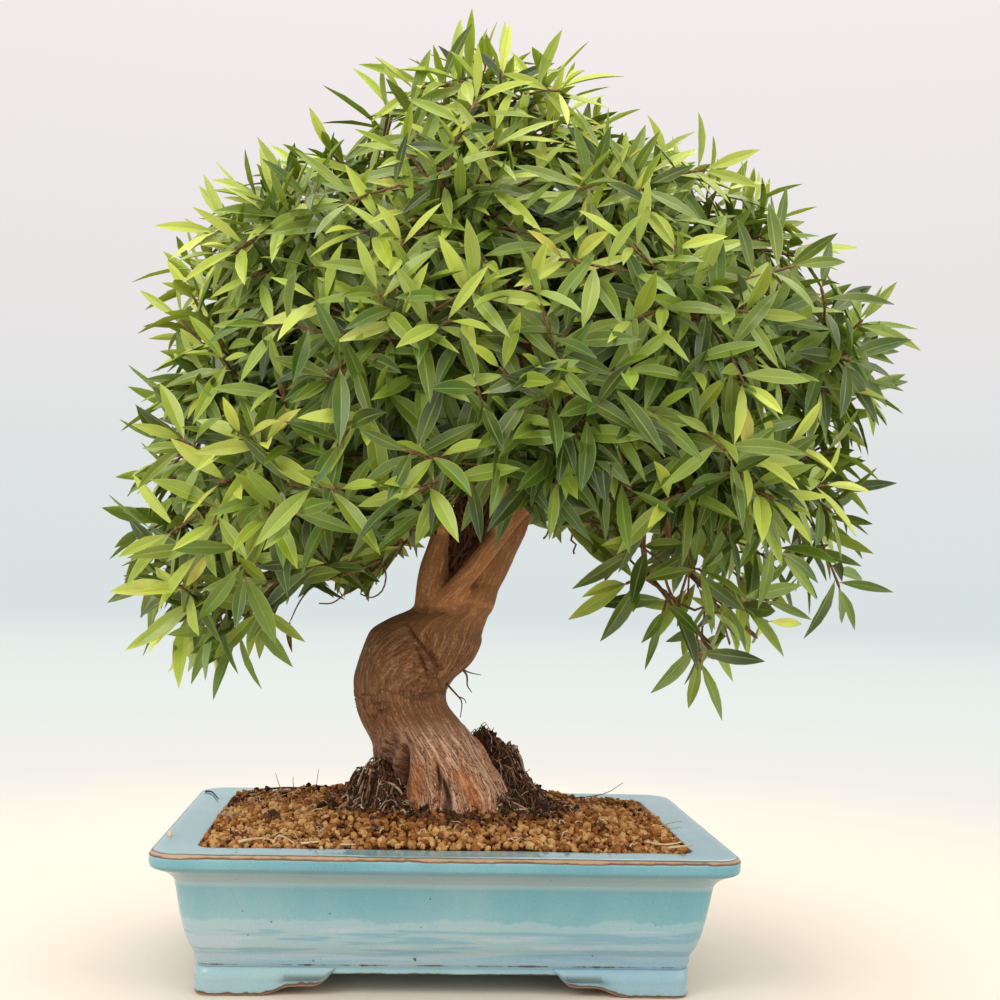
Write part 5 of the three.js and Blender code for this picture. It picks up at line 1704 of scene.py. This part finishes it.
def add_roots(shape):
    """Fine roots that creep over the mound, most of them thin and dark, a few stout, long and pale."""
    seed = np.arange(900) + 41000.0
    start, turn = mat_spots(seed, 0.98)
    heading = turn + 2.6 * (chance(seed + 0.3) - 0.5) + 1.2
    paths = wander(start, heading, 12 + 30 * chance(seed + 0.4) ** 2, 3.4 * chance(seed + 0.9), mat_height,
                   1 + 8 * chance(seed + 0.5) ** 3, seed, 8)
    radii = (0.3 + 1.0 * chance(seed + 0.6) ** 3)[:, None] * np.linspace(1.1, 0.55, 8)
    add_bars(shape, paths, radii, 4, 1, np.clip(0.1 + 0.9 * chance(seed + 0.7) ** 1.7, 0, 1))
    strands(shape, LONG_ROOTS, 1)


def add_moss(shape):
    """Blades of moss in patches where noise is high, more of them on the right."""
    seed = np.arange(3000) + 43000.0
    spot, _ = mat_spots(seed)
    patchy = cloud(xyz(*spot.T, 0), 21, 17) + 0.25 * (chance(seed + 0.35) - 0.5)
    mossy = patchy + 0.2 * ease(spot[:, 0], 0, 50) > 0.18
    spot, seed = spot[mossy], seed[mossy]
    foot = np.column_stack([spot, mat_height(*spot.T) - 0.5])
    lean = xyz(chance(seed + 0.5) - 0.5, chance(seed + 0.6) - 0.5, 0.5 + 0.5 * chance(seed + 0.7))
    length = (3.5 + 3 * chance(seed + 0.8))[:, None, None]
    blades = foot[:, None] + lean[:, None] * np.linspace(0, 1, 3)[None, :, None] * length
    add_bars(shape, blades, np.broadcast_to([0.75, 0.55, 0.1], blades.shape[:2]), 3, 2, chance(seed + 0.9))


def build_mat():
    """One piece: the mound with its crumbs, roots and moss."""
    shape = Shape()
    for add in (add_mound, add_crumbs, add_roots, add_moss):
        add(shape)
    print("mat faces", sum(len(f) for f in shape.faces))
    place("root_mat_fibres", shape.mesh("root_mat_fibres"), [PEAT, FIBRE, MOSS], "peat", "root_mat")


build_mat()

# %% [markdown]
# ## Camera and light
#
# The photograph was taken a little to the left of the pot, from 1.2 m away, with the camera tipped up by 3
# degrees and turned by 4. Those numbers come from fitting the pot's rim and feet. Large soft lights stand on both
# sides and above, as in a small photo studio.

# %% Camera
CAMERA_PLACE = np.array([-49.1, -1232.2, 331.0])
YAW, PITCH, ROLL = np.radians([4.229, 3.097, 1.642])
# The sensor's width in millimetres, and the focal length as a share of it: 1386.5 of a picture's 1000 pixels
SENSOR_WIDTH, LENS_SHARE = 36, 1386.5 / 1000


def set_camera():
    """Puts the camera where the photograph was taken: ahead by yaw and pitch, then rolled about that direction."""
    ahead = np.array([np.sin(YAW) * np.cos(PITCH), np.cos(YAW) * np.cos(PITCH), np.sin(PITCH)])
    right = np.array([np.cos(YAW), -np.sin(YAW), 0])
    up = np.cross(right, ahead)
    stance = np.eye(4)
    stance[:3, 0] = right * np.cos(ROLL) + up * np.sin(ROLL)
    stance[:3, 1] = up * np.cos(ROLL) - right * np.sin(ROLL)
    stance[:3, 2] = -ahead
    stance[:3, 3] = (CAMERA_PLACE + POT_CENTRE) / 1000
    camera = link("camera", bpy.data.cameras.new("camera"))
    camera.data.sensor_width, camera.data.lens = SENSOR_WIDTH, SENSOR_WIDTH * LENS_SHARE
    camera.matrix_world = Matrix(stance.tolist())
    bpy.context.scene.camera = camera


set_camera()

# %% Floor, sky and lights
# Lamps: name, place in metres, side in metres, power in watts; all of them face the middle of the tree
STUDIO_LIGHTS = [
    ("left_panel", (-1.6, -1.7, 1.9), 1.5, 30),
    ("right_panel", (1.9, -1.3, 1.5), 1.6, 15),
    ("top_panel", (-0.1, 0.2, 2.4), 1.8, 26),
    ("back_panel", (0.5, 2.1, 1.7), 1.6, 14),
]
LIGHT_AIM = Vector((0, 0, 0.4))
# Half the side of the floor, in metres, and the colour in which it ends
FLOOR_REACH = 60
HAZE = (0.70, 0.765, 0.765)


def floor_finish():
    """Cream near the pot, fading with distance into the same pale haze as the bottom of the sky."""
    finish = Finish("pale_floor")
    far = finish.node("ShaderNodeVectorMath", {"operation": "LENGTH"}, finish.places()).part("Value")
    glow = finish.ramp(far / 12, (0.03, (0.93, 0.86, 0.76)), (0.09, (0.90, 0.885, 0.82)), (0.22, (0.83, 0.875, 0.84)),
                       (0.75, HAZE))
    finish.set(Base_Color=(0.80, 0.715, 0.60), Roughness=0.8, Specular_IOR_Level=0.2)
    links = finish.material.node_tree.links
    light = finish.node("ShaderNodeEmission", None, glow)
    blend = finish.node("ShaderNodeMixShader", None, finish.step(far, 0.35, 1.3))
    links.new(finish.shader.outputs[0], blend.socket.node.inputs[1])
    links.new(light.socket, blend.socket.node.inputs[2])
    links.new(blend.socket, finish.nodes["Material Output"].inputs["Surface"])
    return finish.material


def set_floor():
    """A level square under the pot's feet, so wide that its edge lies in the haze."""
    mesh = bpy.data.meshes.new("floor")
    mesh.from_pydata([(*(sign * FLOOR_REACH), 0) for sign in CORNERS[[2, 3, 0, 1]]], [], [(0, 1, 2, 3)])
    mesh.materials.append(floor_finish())
    link("floor", mesh)


def set_lights():
    """Soft square lamps that face the tree: their own Z axis points away from it."""
    for name, spot, size, power in STUDIO_LIGHTS:
        lamp = bpy.data.lights.new(name, "AREA")
        lamp.size, lamp.energy, lamp.color = size, power, (1.0, 0.98, 0.95)
        light = link(name, lamp)
        light.location = spot
        light.rotation_euler = (Vector(spot) - LIGHT_AIM).to_track_quat("Z", "Y").to_euler()


def set_sky():
    """A sky that goes from the haze at the floor's end to a pinkish white above."""
    world = bpy.data.worlds.new("pale_room")
    bpy.context.scene.world = world
    world.use_nodes = True
    nodes, links = world.node_tree.nodes, world.node_tree.links
    sight, height = nodes.new("ShaderNodeTexCoord"), nodes.new("ShaderNodeSeparateXYZ")
    ramp = nodes.new("ShaderNodeValToRGB")
    links.new(sight.outputs["Generated"], height.inputs[0])
    links.new(height.outputs["Z"], ramp.inputs["Fac"])
    stops = [(0.0, HAZE), (0.06, (0.735, 0.765, 0.765)), (0.2, (0.82, 0.79, 0.79)), (0.4, (0.90, 0.85, 0.845)),
             (1.0, (0.95, 0.92, 0.91))]
    for _ in stops[2:]:
        ramp.color_ramp.elements.new(0.5)
    for element, (at, colour) in zip(ramp.color_ramp.elements, stops):
        element.position, element.color = at, (*colour, 1)
    links.new(ramp.outputs["Color"], nodes["Background"].inputs["Color"])


set_floor()
set_lights()
set_sky()
bpy.context.scene.view_settings.view_transform = "Standard"
